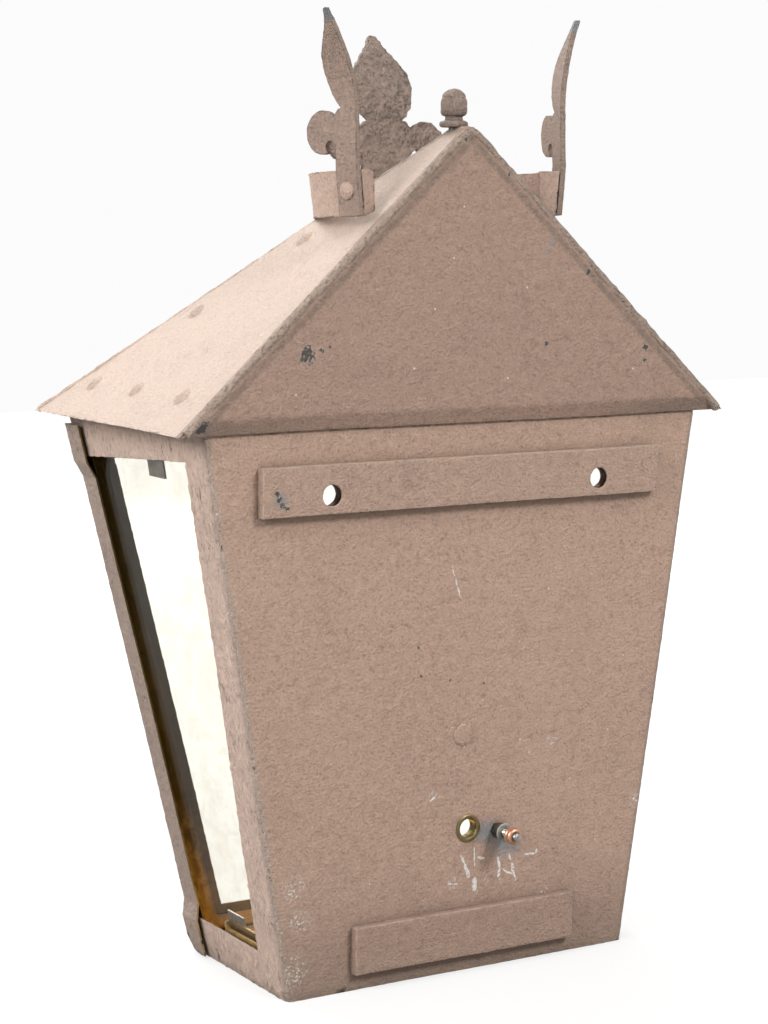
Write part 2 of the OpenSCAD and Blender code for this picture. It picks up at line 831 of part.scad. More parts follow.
// One fleur; keep says which part of its width is left: 0 all, 1 or -1 a half
module fleur(turn, lean, keep) {
    edge = keep * (crown_r * (crown_end - half_turn) * PI / 180);
    on_crown(turn, crown_r + fleur_stand) difference() {
        intersection() {
            rotate([90, 0, 180]) translate([0, 0, -5]) linear_extrude(80)
                translate([-edge, 0]) intersection() {
                    fleur_face();
                    translate([keep > 0 ? 0 : -far, 0])
                        square([keep == 0 ? 2 * far : far, far]);
                }
            rotate([90, 0, 90]) translate([0, 0, -60]) linear_extrude(120)
                fleur_profile(lean);
        }
        crown_rivet_bore();
    }
}

module fleur_front() {
    color(paint) on_wall() fleur(front_turn, lean_front, 0);
}

module fleur_right() {
    color(paint) on_wall() fleur(half_turn, lean_right, -1);
}

module fleur_left() {
    color(paint) on_wall() fleur(-half_turn, lean_left, 1);
}

module crown_rivets() {
    color(paint) on_wall() for (turn = [front_turn, half_turn, -half_turn])
        on_crown(turn, crown_r + fleur_stand) at_crown_rivet() translate([0, 0, fit])
                rivet(crown_rivet_r, 0.4 * crown_rivet_r, rivet_shank_r,
                    fleur_t + strap_t + crown_rivet_slack, 1.4 * rivet_shank_r,
                    0.4 * rivet_shank_r);
}

// Finial

module finial_collar() {
    color(paint_dark) on_wall() translate([0, hip_y, flat_z + fit]) difference() {
        rotate_extrude() polygon([[0, 0], [collar_r - 0.8, 0], [collar_r, 0.8],
            [collar_r, collar_h - 1], [collar_r - 1.4, collar_h], [0, collar_h]]);
        translate([0, 0, -1]) cylinder(r = rod_r + thread_gap, h = collar_h + 2);
    }
}

module finial_acorn() {
    cup_z = acorn_neck_h;
    cup_h = 0.64 * (acorn_h - acorn_neck_h);
    color(paint_dark) on_wall() translate([0, hip_y, flat_z + collar_h + 2 * fit])
        difference() {
            union() {
                cylinder(r = acorn_r * 0.68, h = cup_z + 0.2);
                translate([0, 0, cup_z]) cylinder(r = acorn_r, h = cup_h, $fn = 6);
                translate([0, 0, cup_z + cup_h]) rotate_extrude() polygon([
                    for (a = [0:10:90]) [acorn_r * 0.9 * cos(a),
                        (acorn_h - cup_z - cup_h) * sin(a)], [0, 0]]);
            }
            translate([0, 0, -1]) cylinder(r = rod_r + thread_gap, h = 1 + cup_z + cup_h);
        }
}

module finial_rod() {
    color(steel) on_wall() translate([0, hip_y, flat_z - 11])
        cylinder(r = rod_r, h = 11 + collar_h + acorn_neck_h + 4);
}

module finial_nut() {
    color(steel) on_wall() translate([0, hip_y, flat_z - 10]) nut(8, 3.2, rod_r + thread_gap);
}

// Wall bars: shallow trays soldered to the back plate, open towards it

module tray(length, low) {
    difference() {
        front_block(fit, bar_depth) translate([-length / 2, low]) square([length, bar_h]);
        front_block(0, bar_depth - sheet) translate([-length / 2 + sheet, low + sheet])
            square([length - 2 * sheet, bar_h - 2 * sheet]);
    }
}

module upper_wall_bar() {
    color(paint) on_wall() difference() {
        tray(upper_bar_len, upper_bar_z);
        screw_holes(-1, bar_depth + 1);
    }
}

module lower_wall_bar() {
    color(paint) on_wall() tray(lower_bar_len, lower_bar_z);
}

// Cable entry and earth terminal

module cable_ferrule() {
    outer = cable_r + ferrule_wall;
    color(brass) on_wall() translate([-cable_x, 0.8, cable_z]) rotate([90, 0, 0])
        rotate_extrude() polygon([[cable_r, 0], [outer + ferrule_rim, 0],
            [outer + ferrule_rim, 0.8 - fit], [outer, 0.8 - fit], [outer, ferrule_len],
            [cable_r, ferrule_len]]);
}

module on_earth(y) {
    on_wall() translate([-earth_x, y, earth_z]) rotate([-90, 0, 0]) children();
}

module earth_stud() {
    color(steel) on_earth(0) {
        translate([0, 0, -sheet - fit - earth_head_h]) cylinder(r = 1.8 * earth_r, h = earth_head_h);
        translate([0, 0, -sheet - fit - 1]) cylinder(r = earth_r, h = earth_len + sheet + fit + 1);
    }
}

module earth_washer() {
    color(steel) on_earth(earth_lock_h + 2 * fit) difference() {
        cylinder(r = 4.5, h = 1);
        translate([0, 0, -1]) cylinder(r = earth_r + thread_gap, h = 4);
    }
}

module earth_lock_nut() {
    color(steel) on_earth(fit) nut(7, earth_lock_h, earth_r + thread_gap);
}

module earth_terminal_nut() {
    color(copper) on_earth(earth_nut_out) difference() {
        cylinder(r = 2.05 * earth_r, h = earth_nut_h);
        translate([0, 0, -1]) cylinder(r = earth_r + thread_gap, h = 8);
    }
}

// Lamp

module bracket_rivet() {
    color(paint) on_wall() translate([0, fit, bracket_z]) rotate([-90, 0, 0])
        rivet(bracket_rivet_r, bracket_rivet_h, rivet_shank_r, sheet + bracket_t + 4 * fit,
            1.6 * rivet_shank_r, 0.6 * rivet_shank_r);
}

module lamp_bracket() {
    back = -sheet - 2 * fit;
    color(steel) on_wall() difference() {
        side_block(-bracket_w / 2, bracket_w / 2) polygon([
            [back, bracket_z + bracket_up], [back, shelf_z],
            [-lamp_y - bracket_past, shelf_z], [-lamp_y - bracket_past, socket_z],
            [back - bracket_t, socket_z], [back - bracket_t, bracket_z + bracket_up]]);
        translate([0, 1, bracket_z]) rotate([90, 0, 0])
            cylinder(r = rivet_shank_r + thread_gap, h = 10);
        translate([0, -lamp_y, shelf_z - bracket_t])
            cylinder(r = nipple_r + thread_gap, h = 4 * bracket_t);
    }
}

module lamp_nipple() {
    color(brass) on_wall() translate([0, -lamp_y, socket_z - bracket_t - 6]) difference() {
        cylinder(r = nipple_r, h = bracket_t + 6 + 9);
        translate([0, 0, -1]) cylinder(r = nipple_r - 1.4, h = bracket_t + 20);
    }
}

module lamp_nut() {
    color(brass) on_wall() translate([0, -lamp_y, socket_z - bracket_t - fit - 3.4])
        nut(14, 3.4, nipple_r + thread_gap);
}

module lampholder_cap() {
    color(brass) on_wall() translate([0, -lamp_y, socket_z + fit]) rotate_extrude() polygon([
        [nipple_r + thread_gap, 0], [nipple_r + 4, 0], [holder_r - 1, 0.75 * cap_h],
        [holder_r - 1, cap_h], [nipple_r + thread_gap, cap_h]]);
}

module lampholder_body() {
    color(ceramic) on_wall() translate([0, -lamp_y, socket_z + cap_h + 2 * fit])
        rotate_extrude() polygon([[2.5, 0], [holder_r, 0], [holder_r, holder_h - 2],
            [holder_r - 2, holder_h], [socket_r + shell_t + thread_gap, holder_h],
            [socket_r + shell_t + thread_gap, cup_floor], [2.5, cup_floor]]);
}

module lampholder_shell() {
    color(brass) on_wall() translate([0, -lamp_y, socket_z + cap_h + cup_floor + 3 * fit])
        rotate_extrude() polygon([[6, 0], [socket_r + shell_t, 0],
            [socket_r + shell_t, holder_h - 6], [socket_r, holder_h - 6],
            [socket_r, shell_t], [6, shell_t]]);
}

module lampholder_contact() {
    color(copper) on_wall() translate([0, -lamp_y, socket_z + cap_h + 2 * fit]) {
        cylinder(r = 2.4, h = cup_floor + 1);
        translate([0, 0, cup_floor + fit]) cylinder(r = 4.2, h = 1.6);
    }
}

// Glass

module side_pane() {
    low = bottom_rail - glass_lap;
    high = body_h - top_rail_back + 3;
    near = across_front(carcass + sheet) + pane_back;
    intersection() {
        side_slab(-pane_in, glass - pane_in);
        side_block(0, far) polygon([[-rear_stile + glass_lap, low],
            [-rear_stile + glass_lap, high], [front_at(high) + near, high],
            [front_at(low) + near, low]]);
    }
}

module side_glass_right() {
    color(pane) on_wall() side_pane();
}

module side_glass_left() {
    color(pane) on_wall() mirror([1, 0, 0]) side_pane();
}

// A bent tab seen along the rail: back against the rail, finger over the pane or its channel
module clip_profile(pane_edge, wrap, reach) {
    up = reach > pane_edge ? 1 : -1;
    outer = -sheet - 2 * fit;
    inner = -pane_in - wrap - 2 * fit;
    foot = pane_edge - wrap - (up > 0 ? pane_in * side_run + 0.1 : -0.1);
    polygon([[outer, foot], [outer, foot - up * clip_t], [inner - clip_t, foot - up * clip_t],
        [inner - clip_t, reach], [inner, reach], [inner, foot]]);
}

module side_clips() {
    slant = 1 / cos(side_tilt);
    low = (bottom_rail - glass_lap) * slant;
    high = (body_h - top_rail_back + 3) * slant;
    in_side() {
        translate([-clip_low_back, 0, 0]) rotate([0, -90, 0]) linear_extrude(clip_w)
            clip_profile(low, channel_in - pane_in, low + glass_lap + clip_show + packing_show);
        translate([-clip_high_back, 0, 0]) rotate([0, -90, 0]) linear_extrude(clip_w)
            clip_profile(high, 0, high - top_rail_front + top_rail_back - clip_show);
    }
}

module glass_clips_right() {
    color(steel) on_wall() side_clips();
}

module glass_clips_left() {
    color(steel) on_wall() mirror([1, 0, 0]) side_clips();
}

// Channel round the pane's foot: its inner leg stands higher, and the outer leg rises to
// meet it at the rounded front end
module packing() {
    slant = 1 / cos(side_tilt);
    low = (bottom_rail - glass_lap) * slant - pane_in * side_run - 0.1 - fit;
    mid = (bottom_rail + packing_show) * slant;
    high = mid + packing_rise;
    back = 2 - rear_stile;
    front = back - packing_len;
    in_side() difference() {
        translate([0, 0, -channel_in]) linear_extrude(channel_in - sheet - 0.05) hull() {
            translate([front, low - sheet]) square([packing_len, sheet]);
            translate([back - 1, high - 1]) square(1);
            translate([front + packing_rise / 2, high - packing_rise / 2])
                circle(packing_rise / 2);
        }
        translate([front - 1, low, -pane_in - 0.05]) cube([far, far, glass + 0.1]);
        translate([0, 0, -pane_in]) linear_extrude(pane_in) hull() {
            translate([front + 2 + packing_rise, mid + packing_rise]) circle(packing_rise);
            translate([back, mid]) square(far);
            translate([front + 2, high]) square(far);
        }
    }
}

module glass_packing_right() {
    color(brass) on_wall() packing();
}

module glass_packing_left() {
    color(brass) on_wall() mirror([1, 0, 0]) packing();
}

// Door

// How far the door's free edge stands out of the side plane, as height and reach
flange_path = [[flange_foot, flange_lift], [step_low, flange_lift],
    [step_low + flange_step, 0], [step_high - flange_step, 0], [step_high, flange_lift],
    [door_top, flange_lift]];
sheet_path = concat([[door_foot, flange_lift]],
    [for (i = [1:len(flange_path) - 1]) flange_path[i]]);

module door_face() {
    corner = half_at(flange_round) + flange_lift;
    difference() {
        polygon(concat([for (p = sheet_path) [half_at(p[0]) + p[1], p[0]]],
            [[-half_at(door_top) + hinge_edge, door_top],
            [-half_at(door_foot) + hinge_edge, door_foot]]));
        body_face(door_stile, open_low, open_high);
        difference() {
            translate([corner - flange_round, 0]) square([2 * flange_round, flange_foot + flange_round]);
            translate([corner - flange_round, flange_foot + flange_round]) circle(flange_round);
        }
    }
}

// Side view of the flange, its lower front corner rounded
module flange_side() {
    intersection() {
        front_strip(0, flange_depth, flange_foot, door_top);
        union() {
            translate([-far, flange_foot + flange_round]) square([far, far]);
            translate([front_at(flange_foot) + flange_round, flange_foot])
                square([far, flange_round + 1]);
            translate([front_at(flange_foot) + flange_round, flange_foot + flange_round])
                circle(flange_round);
        }
    }
}

module door_frame() {
    turns = len(flange_path) - 1;
    color(paint) on_wall() difference() {
        union() {
            intersection() {
                front_slab(-door_sheet, 0);
                front_block(-far, far) door_face();
            }
            intersection() {
                front_block(-far, far) polygon(concat(
                    [for (p = flange_path) [half_at(p[0]) + p[1], p[0]]],
                    [for (i = [turns:-1:0]) [half_at(flange_path[i][0]) + flange_path[i][1]
                        - across_side(door_sheet), flange_path[i][0]]]));
                side_block(0, far) flange_side();
            }
        }
        at_catch() translate([0, 0, -5]) cylinder(r = spindle_r + thread_gap, h = 10);
        in_corner() door_rivet_places() translate([0, 0, -3])
            cylinder(r = leaf_shank_r + thread_gap, h = 6);
    }
}

module door_glass() {
    half = half_at(open_high + glass_lap) - door_stile + glass_lap;
    color(pane) on_wall() intersection() {
        front_slab(-door_sheet - 0.1 - glass, -door_sheet - 0.1);
        front_block(-far, far) difference() {
            body_face(door_stile - glass_lap, open_low - glass_lap, open_high + glass_lap);
            translate([half, open_high + glass_lap]) rotate(45)
                square(pane_clip * 1.15, center = true);
        }
    }
}

// Four tabs that hold the door's pane, two on each level member. The pane's foot is cut
// level, so the lower tabs lie under its inner edge
module door_clips() {
    inner = -door_sheet - 0.1 - glass - fit;
    foot = open_low - glass_lap + inner * front_run;
    color(steel) on_wall() for (side = [0, 1], edge = [[-90, foot],
        [90, open_high + glass_lap]]) mirror([side, 0, 0]) in_front()
            translate([door_clip_x - edge[0] / 180 * door_clip_w, edge[1] / cos(front_tilt), 0])
                rotate([0, 0, edge[0]]) rotate([90, 0, 0]) linear_extrude(door_clip_w) polygon([
                    [0.4, -door_sheet - fit], [0.4 + clip_t, -door_sheet - fit],
                    [0.4 + clip_t, inner - clip_t], [-glass_lap - 1, inner - clip_t],
                    [-glass_lap - 1, inner], [0.4, inner]]);
}

// Hinges

knuckle = (hinge_len - 2 * knuckle_gap) / 3;
hinge_starts = [hinge_low, hinge_high];
// The leaves' straps end inside the knuckle's wall, clear of the pin, and are a little shorter
strap_end = pin_r + pin_gap + 0.3;
strap_in = 0.4;

module pin_line(low, r, length) {
    translate([-pin_out, low, pin_out]) rotate([-90, 0, 0]) cylinder(r = r, h = length);
}

module door_rivet_places() {
    for (start = hinge_starts, up = [0.2, 0.8])
        translate([hinge_edge + leaf_w / 2 + 1, start + up * hinge_len, 0]) children();
}

// Leaf on the door, with the middle knuckle
module hinge_leaves_door() {
    color(paint) on_wall() in_corner() difference() {
        for (start = hinge_starts) {
            mid = start + knuckle + knuckle_gap;
            translate([hinge_edge, start, fit]) cube([leaf_w, hinge_len, leaf_t]);
            translate([strap_end - pin_out, mid + strap_in, fit])
                cube([hinge_edge + pin_out - strap_end + 1, knuckle - 2 * strap_in, leaf_t]);
            pin_line(mid, barrel_r, knuckle);
        }
        for (start = hinge_starts) pin_line(start - 1, pin_r + pin_gap, hinge_len + 2);
        door_rivet_places() translate([0, 0, -1])
            cylinder(r = leaf_shank_r + thread_gap, h = 4);
    }
}

// Leaf on the side frame, with the two outer knuckles
module in_corner_side() {
    in_corner() rotate([0, corner_off, 0]) children();
}

module side_rivet_places() {
    for (start = hinge_starts, up = [0.2, 0.8])
        translate([0, start + up * hinge_len, -carcass - leaf_w / 2 - 1]) children();
}

module body_rivet_bores() {
    in_corner_side() side_rivet_places() rotate([0, 90, 0]) translate([0, 0, -3])
        cylinder(r = leaf_shank_r + thread_gap, h = 8);
}

module hinge_leaves_body() {
    color(paint) on_wall() difference() {
        union() {
            in_corner_side() for (start = hinge_starts) {
                translate([-leaf_t - fit, start, -carcass - leaf_w])
                    cube([leaf_t, hinge_len, leaf_w]);
                for (low = [start, start + 2 * (knuckle + knuckle_gap)])
                    translate([-leaf_t - fit, low + strap_in, -carcass - 1]) cube([leaf_t,
                        knuckle - 2 * strap_in, carcass + pin_out - strap_end + 1]);
            }
            in_corner() for (start = hinge_starts)
                for (low = [start, start + 2 * (knuckle + knuckle_gap)])
                    pin_line(low, barrel_r, knuckle);
        }
        in_corner() for (start = hinge_starts)
            pin_line(start - 1, pin_r + pin_gap, hinge_len + 2);
        body_rivet_bores();
    }
}

module hinge_pins() {
    color(steel) on_wall() in_corner() for (start = hinge_starts) {
        pin_line(start - 0.6, pin_r, hinge_len + 0.8);
        pin_line(start + hinge_len + 0.1, pin_r + 0.7, 0.9);
    }
}

module hinge_rivets_door() {
    color(paint) on_wall() in_corner() door_rivet_places() translate([0, 0, leaf_t + 2 * fit])
        rivet(leaf_rivet_r, 0.5 * leaf_rivet_r, leaf_shank_r, leaf_t + door_sheet + 3 * fit,
            1.6 * leaf_shank_r, 0.5 * leaf_shank_r);
}

module hinge_rivets_body() {
    color(paint) on_wall() in_corner_side() side_rivet_places() rotate([0, -90, 0])
        translate([0, 0, leaf_t + 2 * fit]) rivet(leaf_rivet_r, 0.5 * leaf_rivet_r,
            leaf_shank_r, leaf_t + 2 * sheet + fit, 0.8 * leaf_shank_r, 0.05 * leaf_shank_r);
}

// Catch

module at_catch() {
    in_front() translate([catch_x, catch_z / cos(front_tilt), 0]) children();
}

tongue_top = -carcass - sheet - door_gap;

module catch_washer() {
    color(brass) on_wall() at_catch() translate([0, 0, thread_gap]) difference() {
        cylinder(r = knob_r - 0.5, h = 0.8);
        translate([0, 0, -1]) cylinder(r = spindle_r + thread_gap, h = 3);
    }
}

module catch_spindle() {
    color(brass) on_wall() at_catch() {
        translate([0, 0, tongue_top - tongue_t - 0.8])
            cylinder(r = spindle_r, h = 0.8 + tongue_t - tongue_top + 4);
        translate([0, 0, tongue_top - tongue_t - fit - 0.8]) cylinder(r = spindle_r + 0.7, h = 0.8);
    }
}

module catch_knob() {
    color(brass) on_wall() at_catch() translate([0, 0, 0.8 + 2 * thread_gap]) difference() {
        rotate_extrude() polygon([[0, 0], [knob_r * 0.55, 0], [knob_r * 0.5, knob_len * 0.35],
            [knob_r * 0.92, knob_len * 0.5], [knob_r, knob_len * 0.68],
            [knob_r * 0.85, knob_len * 0.9], [knob_r * 0.45, knob_len], [0, knob_len]]);
        translate([0, 0, -1]) cylinder(r = spindle_r + thread_gap, h = 1 + 3.4);
    }
}

module catch_tongue() {
    color(brass) on_wall() at_catch() translate([0, 0, tongue_top - tongue_t]) difference() {
        union() {
            translate([-tongue_len, -tongue_w / 2, 0]) cube([tongue_len, tongue_w, tongue_t]);
            cylinder(r = tongue_w / 2, h = tongue_t);
        }
        translate([0, 0, -1]) cylinder(r = spindle_r + thread_gap, h = tongue_t + 2);
    }
}

back_plate();
side_frame_right();
side_frame_left();
base_plate();
front_sill();
front_header();
door_jamb_right();
door_jamb_left();
eave_ring();
roof_gable();
roof_slope_right();
roof_slope_left();
roof_slope_front();
roof_studs_right();
roof_studs_left();
roof_studs_front();
crown_band();
fleur_front();
fleur_right();
fleur_left();
crown_rivets();
finial_collar();
finial_acorn();
finial_rod();
finial_nut();
upper_wall_bar();
lower_wall_bar();
cable_ferrule();
earth_stud();
earth_washer();
earth_lock_nut();
earth_terminal_nut();
bracket_rivet();
lamp_bracket();
lamp_nipple();
lamp_nut();
lampholder_cap();
lampholder_body();
lampholder_shell();
lampholder_contact();
side_glass_right();
side_glass_left();
glass_clips_right();
glass_clips_left();
glass_packing_right();
glass_packing_left();
hinge_leaves_body();
hinge_pins();
hinge_rivets_body();
door_frame();
door_glass();
door_clips();
hinge_leaves_door();
hinge_rivets_door();
catch_washer();
catch_spindle();
catch_knob();
catch_tongue();
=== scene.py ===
# %% [markdown]
# # An old wall lantern, dressed for its portrait
# The lantern is cut from brass sheet, soldered and riveted together, and painted taupe by hand.
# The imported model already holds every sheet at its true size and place. This lesson adds what
# years and handwork add: soft folds, uneven edges, thick paint with pits, and worn corners.
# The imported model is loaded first, because everything else is set out from it.

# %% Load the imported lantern
import math

import bmesh
import bpy
from mathutils import Matrix, Vector, noise


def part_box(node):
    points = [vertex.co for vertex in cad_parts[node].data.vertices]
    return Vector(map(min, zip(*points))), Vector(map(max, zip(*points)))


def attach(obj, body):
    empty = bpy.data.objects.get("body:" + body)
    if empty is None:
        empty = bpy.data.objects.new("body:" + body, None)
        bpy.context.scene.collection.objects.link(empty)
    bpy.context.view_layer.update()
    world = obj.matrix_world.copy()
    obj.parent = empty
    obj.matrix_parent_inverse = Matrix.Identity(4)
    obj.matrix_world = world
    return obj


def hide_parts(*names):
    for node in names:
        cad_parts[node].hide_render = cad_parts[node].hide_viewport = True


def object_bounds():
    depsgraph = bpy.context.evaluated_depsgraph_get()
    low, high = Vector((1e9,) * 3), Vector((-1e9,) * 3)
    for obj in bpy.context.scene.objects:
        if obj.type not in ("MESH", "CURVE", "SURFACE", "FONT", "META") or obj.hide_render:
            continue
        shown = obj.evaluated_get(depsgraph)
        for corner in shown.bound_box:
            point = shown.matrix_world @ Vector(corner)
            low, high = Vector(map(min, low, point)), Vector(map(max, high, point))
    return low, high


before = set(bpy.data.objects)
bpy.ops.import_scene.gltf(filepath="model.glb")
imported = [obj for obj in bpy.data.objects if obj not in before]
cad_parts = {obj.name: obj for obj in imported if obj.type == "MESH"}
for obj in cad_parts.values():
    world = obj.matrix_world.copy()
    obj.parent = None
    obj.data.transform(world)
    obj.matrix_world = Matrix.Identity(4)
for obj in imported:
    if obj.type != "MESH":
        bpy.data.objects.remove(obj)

cad_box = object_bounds()
print("packed lantern:", len(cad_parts), "nodes, box", cad_box)

# %% [markdown]
# ## Where things are
# A maker measures a lantern from its foot and from the outer face of its back plate. The frame
# measures from the screw holes. One small function turns the first into the second, so that
# the numbers below are the ones that a rule laid on the lantern would give, in millimetres.

# %% Measure from the foot of the back plate
MM = 0.001
BAR_DEPTH = 5.0
SCREW_Z = 238.0
BODY = "lantern_body"


def spot(x, y, z):
    """A point measured in mm from the foot of the back plate, in the frame's metres."""
    return Vector((x, y - BAR_DEPTH, z - SCREW_Z)) * MM


HALF_FOOT, SIDE_RUN = 96.8, 0.15373
FRONT_FOOT, FRONT_RUN = 94.4, 0.21119
EAVE_Z, APEX_Z = 268.0, 408.0
EAVE_HALF, EAVE_BACK, EAVE_FRONT = 152.1, 4.5, -163.2
HIP_Y = -11.5
SLOPE_ANGLE = math.atan2(APEX_Z - EAVE_Z, EAVE_HALF)
FRONT_ANGLE = math.atan2(APEX_Z - EAVE_Z, HIP_Y - EAVE_FRONT)
SIDE_TILT = math.atan(SIDE_RUN)
FRONT_TILT = math.atan(FRONT_RUN)


def half_at(z):
    """Half the body's width at a height over the foot."""
    return HALF_FOOT + SIDE_RUN * z


def front_at(z):
    """Where the door's face is at a height over the foot."""
    return -FRONT_FOOT - FRONT_RUN * z


BACK = Vector((0, 1, 0))
DOWN = Vector((0, 0, -1))
UP = Vector((0, 0, 1))
RIGHT_SIDE = Vector((math.cos(SIDE_TILT), 0, -math.sin(SIDE_TILT)))
LEFT_SIDE = Vector((-RIGHT_SIDE.x, 0, RIGHT_SIDE.z))
FRONT = Vector((0, -math.cos(FRONT_TILT), -math.sin(FRONT_TILT)))
RIGHT_SLOPE = Vector((math.sin(SLOPE_ANGLE), 0, math.cos(SLOPE_ANGLE)))
LEFT_SLOPE = Vector((-RIGHT_SLOPE.x, 0, RIGHT_SLOPE.z))
FRONT_SLOPE = Vector((0, -math.sin(FRONT_ANGLE), math.cos(FRONT_ANGLE)))
print("side leans", round(math.degrees(SIDE_TILT), 1), "degrees, roof", round(math.degrees(SLOPE_ANGLE), 1))

# %% [markdown]
# ## The camera
# The photographer stood behind the lantern, a little to its right side, and looked slightly down.
# The camera's place and turn were found by fitting the lantern's own corners to the photograph,
# so a direction, a small roll and the lens are all that is needed. The sensor fit stays on
# automatic, which takes the sensor's width for the picture's long side.

# %% Set the camera
CAMERA_PLACE = Vector((0.6173, 0.9553, 0.1354))
AZIMUTH, ELEVATION, ROLL = (math.radians(a) for a in (149.19, 7.406, 0.133))
LENS = 84.98

camera_data = bpy.data.cameras.new("portrait_camera")
camera_data.lens = LENS
camera_data.sensor_width = 36.0
camera_data.clip_start = 0.01
camera = bpy.data.objects.new("portrait_camera", camera_data)
bpy.context.scene.collection.objects.link(camera)
toward_camera = Vector((math.sin(AZIMUTH) * math.cos(ELEVATION),
                        -math.cos(AZIMUTH) * math.cos(ELEVATION), math.sin(ELEVATION)))
level = Vector((math.cos(AZIMUTH), math.sin(AZIMUTH), 0))
upright = toward_camera.cross(level)
rolled = level * math.cos(ROLL) + upright * math.sin(ROLL)
raised = upright * math.cos(ROLL) - level * math.sin(ROLL)
camera.matrix_world = Matrix.Translation(CAMERA_PLACE) @ Matrix(
    (rolled, raised, toward_camera)).transposed().to_4x4()
bpy.context.scene.camera = camera
bpy.context.scene.view_settings.view_transform = "Standard"
print("camera stands", round(CAMERA_PLACE.length, 3), "m from the screw holes")

# %% [markdown]
# ## Light for a catalogue picture
# The photograph has a white room round the lantern: no hard shadow, the roof's slope brightest,
# the flat back in even light, and a faint shadow to the lower left of the earth stud. A pale
# world gives the even light. One lamp above the lantern's right side lights the slope, a wide
# one beyond the lantern gives the slope its white sheen, and a smaller one beyond the camera's
# shoulder draws the grain of the paint and the shadows of the bars and the stud. The world is
# white where the camera looks at it or looks through a pane, and dimmer in reflections: the
# photograph's panes and metals mirror a room that is darker than the white behind the lantern.

# %% Place the soft lamps
FILL_LIGHT = 0.50
PAPER_WHITE = 0.97


def soft_lamp(name, place, aim, size, power):
    """A square lamp that looks at a point of the lantern."""
    data = bpy.data.lights.new(name, "AREA")
    data.shape, data.size, data.energy = "SQUARE", size, power
    lamp = bpy.data.objects.new(name, data)
    bpy.context.scene.collection.objects.link(lamp)
    lamp.location = place
    lamp.rotation_euler = (Vector(aim) - Vector(place)).to_track_quat("-Z", "Y").to_euler()
    return lamp


soft_lamp("slope_lamp", (1.55, 0.25, 0.80), (0.05, -0.05, 0.02), 0.8, 24.5)
soft_lamp("sheen_lamp", (0.20, -1.55, 1.15), (0.0, -0.05, 0.08), 1.2, 34.0)
soft_lamp("shoulder_lamp", (-0.55, 1.55, 1.25), (0.0, 0.0, 0.0), 0.50, 26.0)
soft_lamp("door_lamp", (-0.95, -1.50, 0.35), (0.0, -0.1, 0.0), 0.9, 7.0)

world = bpy.data.worlds.new("white_room")
bpy.context.scene.world = world
world.use_nodes = True
wn, wl = world.node_tree.nodes, world.node_tree.links
wn.clear()


def in_view(nodes, links):
    """1 where the camera looks at a thing, straight or through panes only, and 0 in every mirror image."""
    sees = nodes.new("ShaderNodeLightPath")
    steps_taken = []
    for kind, first, second in (("MAXIMUM", "Is Camera Ray", "Is Transmission Ray"),
                                ("ADD", "Diffuse Depth", "Glossy Depth")):
        node = nodes.new("ShaderNodeMath")
        node.operation = kind
        links.new(sees.outputs[first], node.inputs[0])
        links.new(sees.outputs[second], node.inputs[1])
        steps_taken.append(node.outputs[0])
    straight = nodes.new("ShaderNodeMath")
    straight.operation = "SUBTRACT"
    straight.use_clamp = True
    links.new(steps_taken[0], straight.inputs[0])
    links.new(steps_taken[1], straight.inputs[1])
    return straight.outputs[0]


looked_at = in_view(wn, wl)
room_light = wn.new("ShaderNodeBackground")
room_light.inputs["Color"].default_value = (1.0, 0.995, 0.985, 1)
room_light.inputs["Strength"].default_value = FILL_LIGHT
room_seen = wn.new("ShaderNodeBackground")
room_seen.inputs["Color"].default_value = (1.0, 1.0, 1.0, 1)
room_seen.inputs["Strength"].default_value = PAPER_WHITE
pick_room = wn.new("ShaderNodeMixShader")
wl.new(looked_at, pick_room.inputs["Fac"])
wl.new(room_light.outputs[0], pick_room.inputs[1])
wl.new(room_seen.outputs[0], pick_room.inputs[2])
room_out = wn.new("ShaderNodeOutputWorld")
wl.new(pick_room.outputs[0], room_out.inputs["Surface"])

# %% [markdown]
# ## Wiring a finish without losing the thread
# Every finish below is a small net of nodes: patterns that turn places into numbers, ramps that
# turn numbers into masks, and mixes that lay one colour over another. A short helper class
# keeps each of those to one line. Patterns are measured in the frame's metres, so a pit of half
# a millimetre is half a millimetre on every sheet, and it stays on its sheet when the door moves.

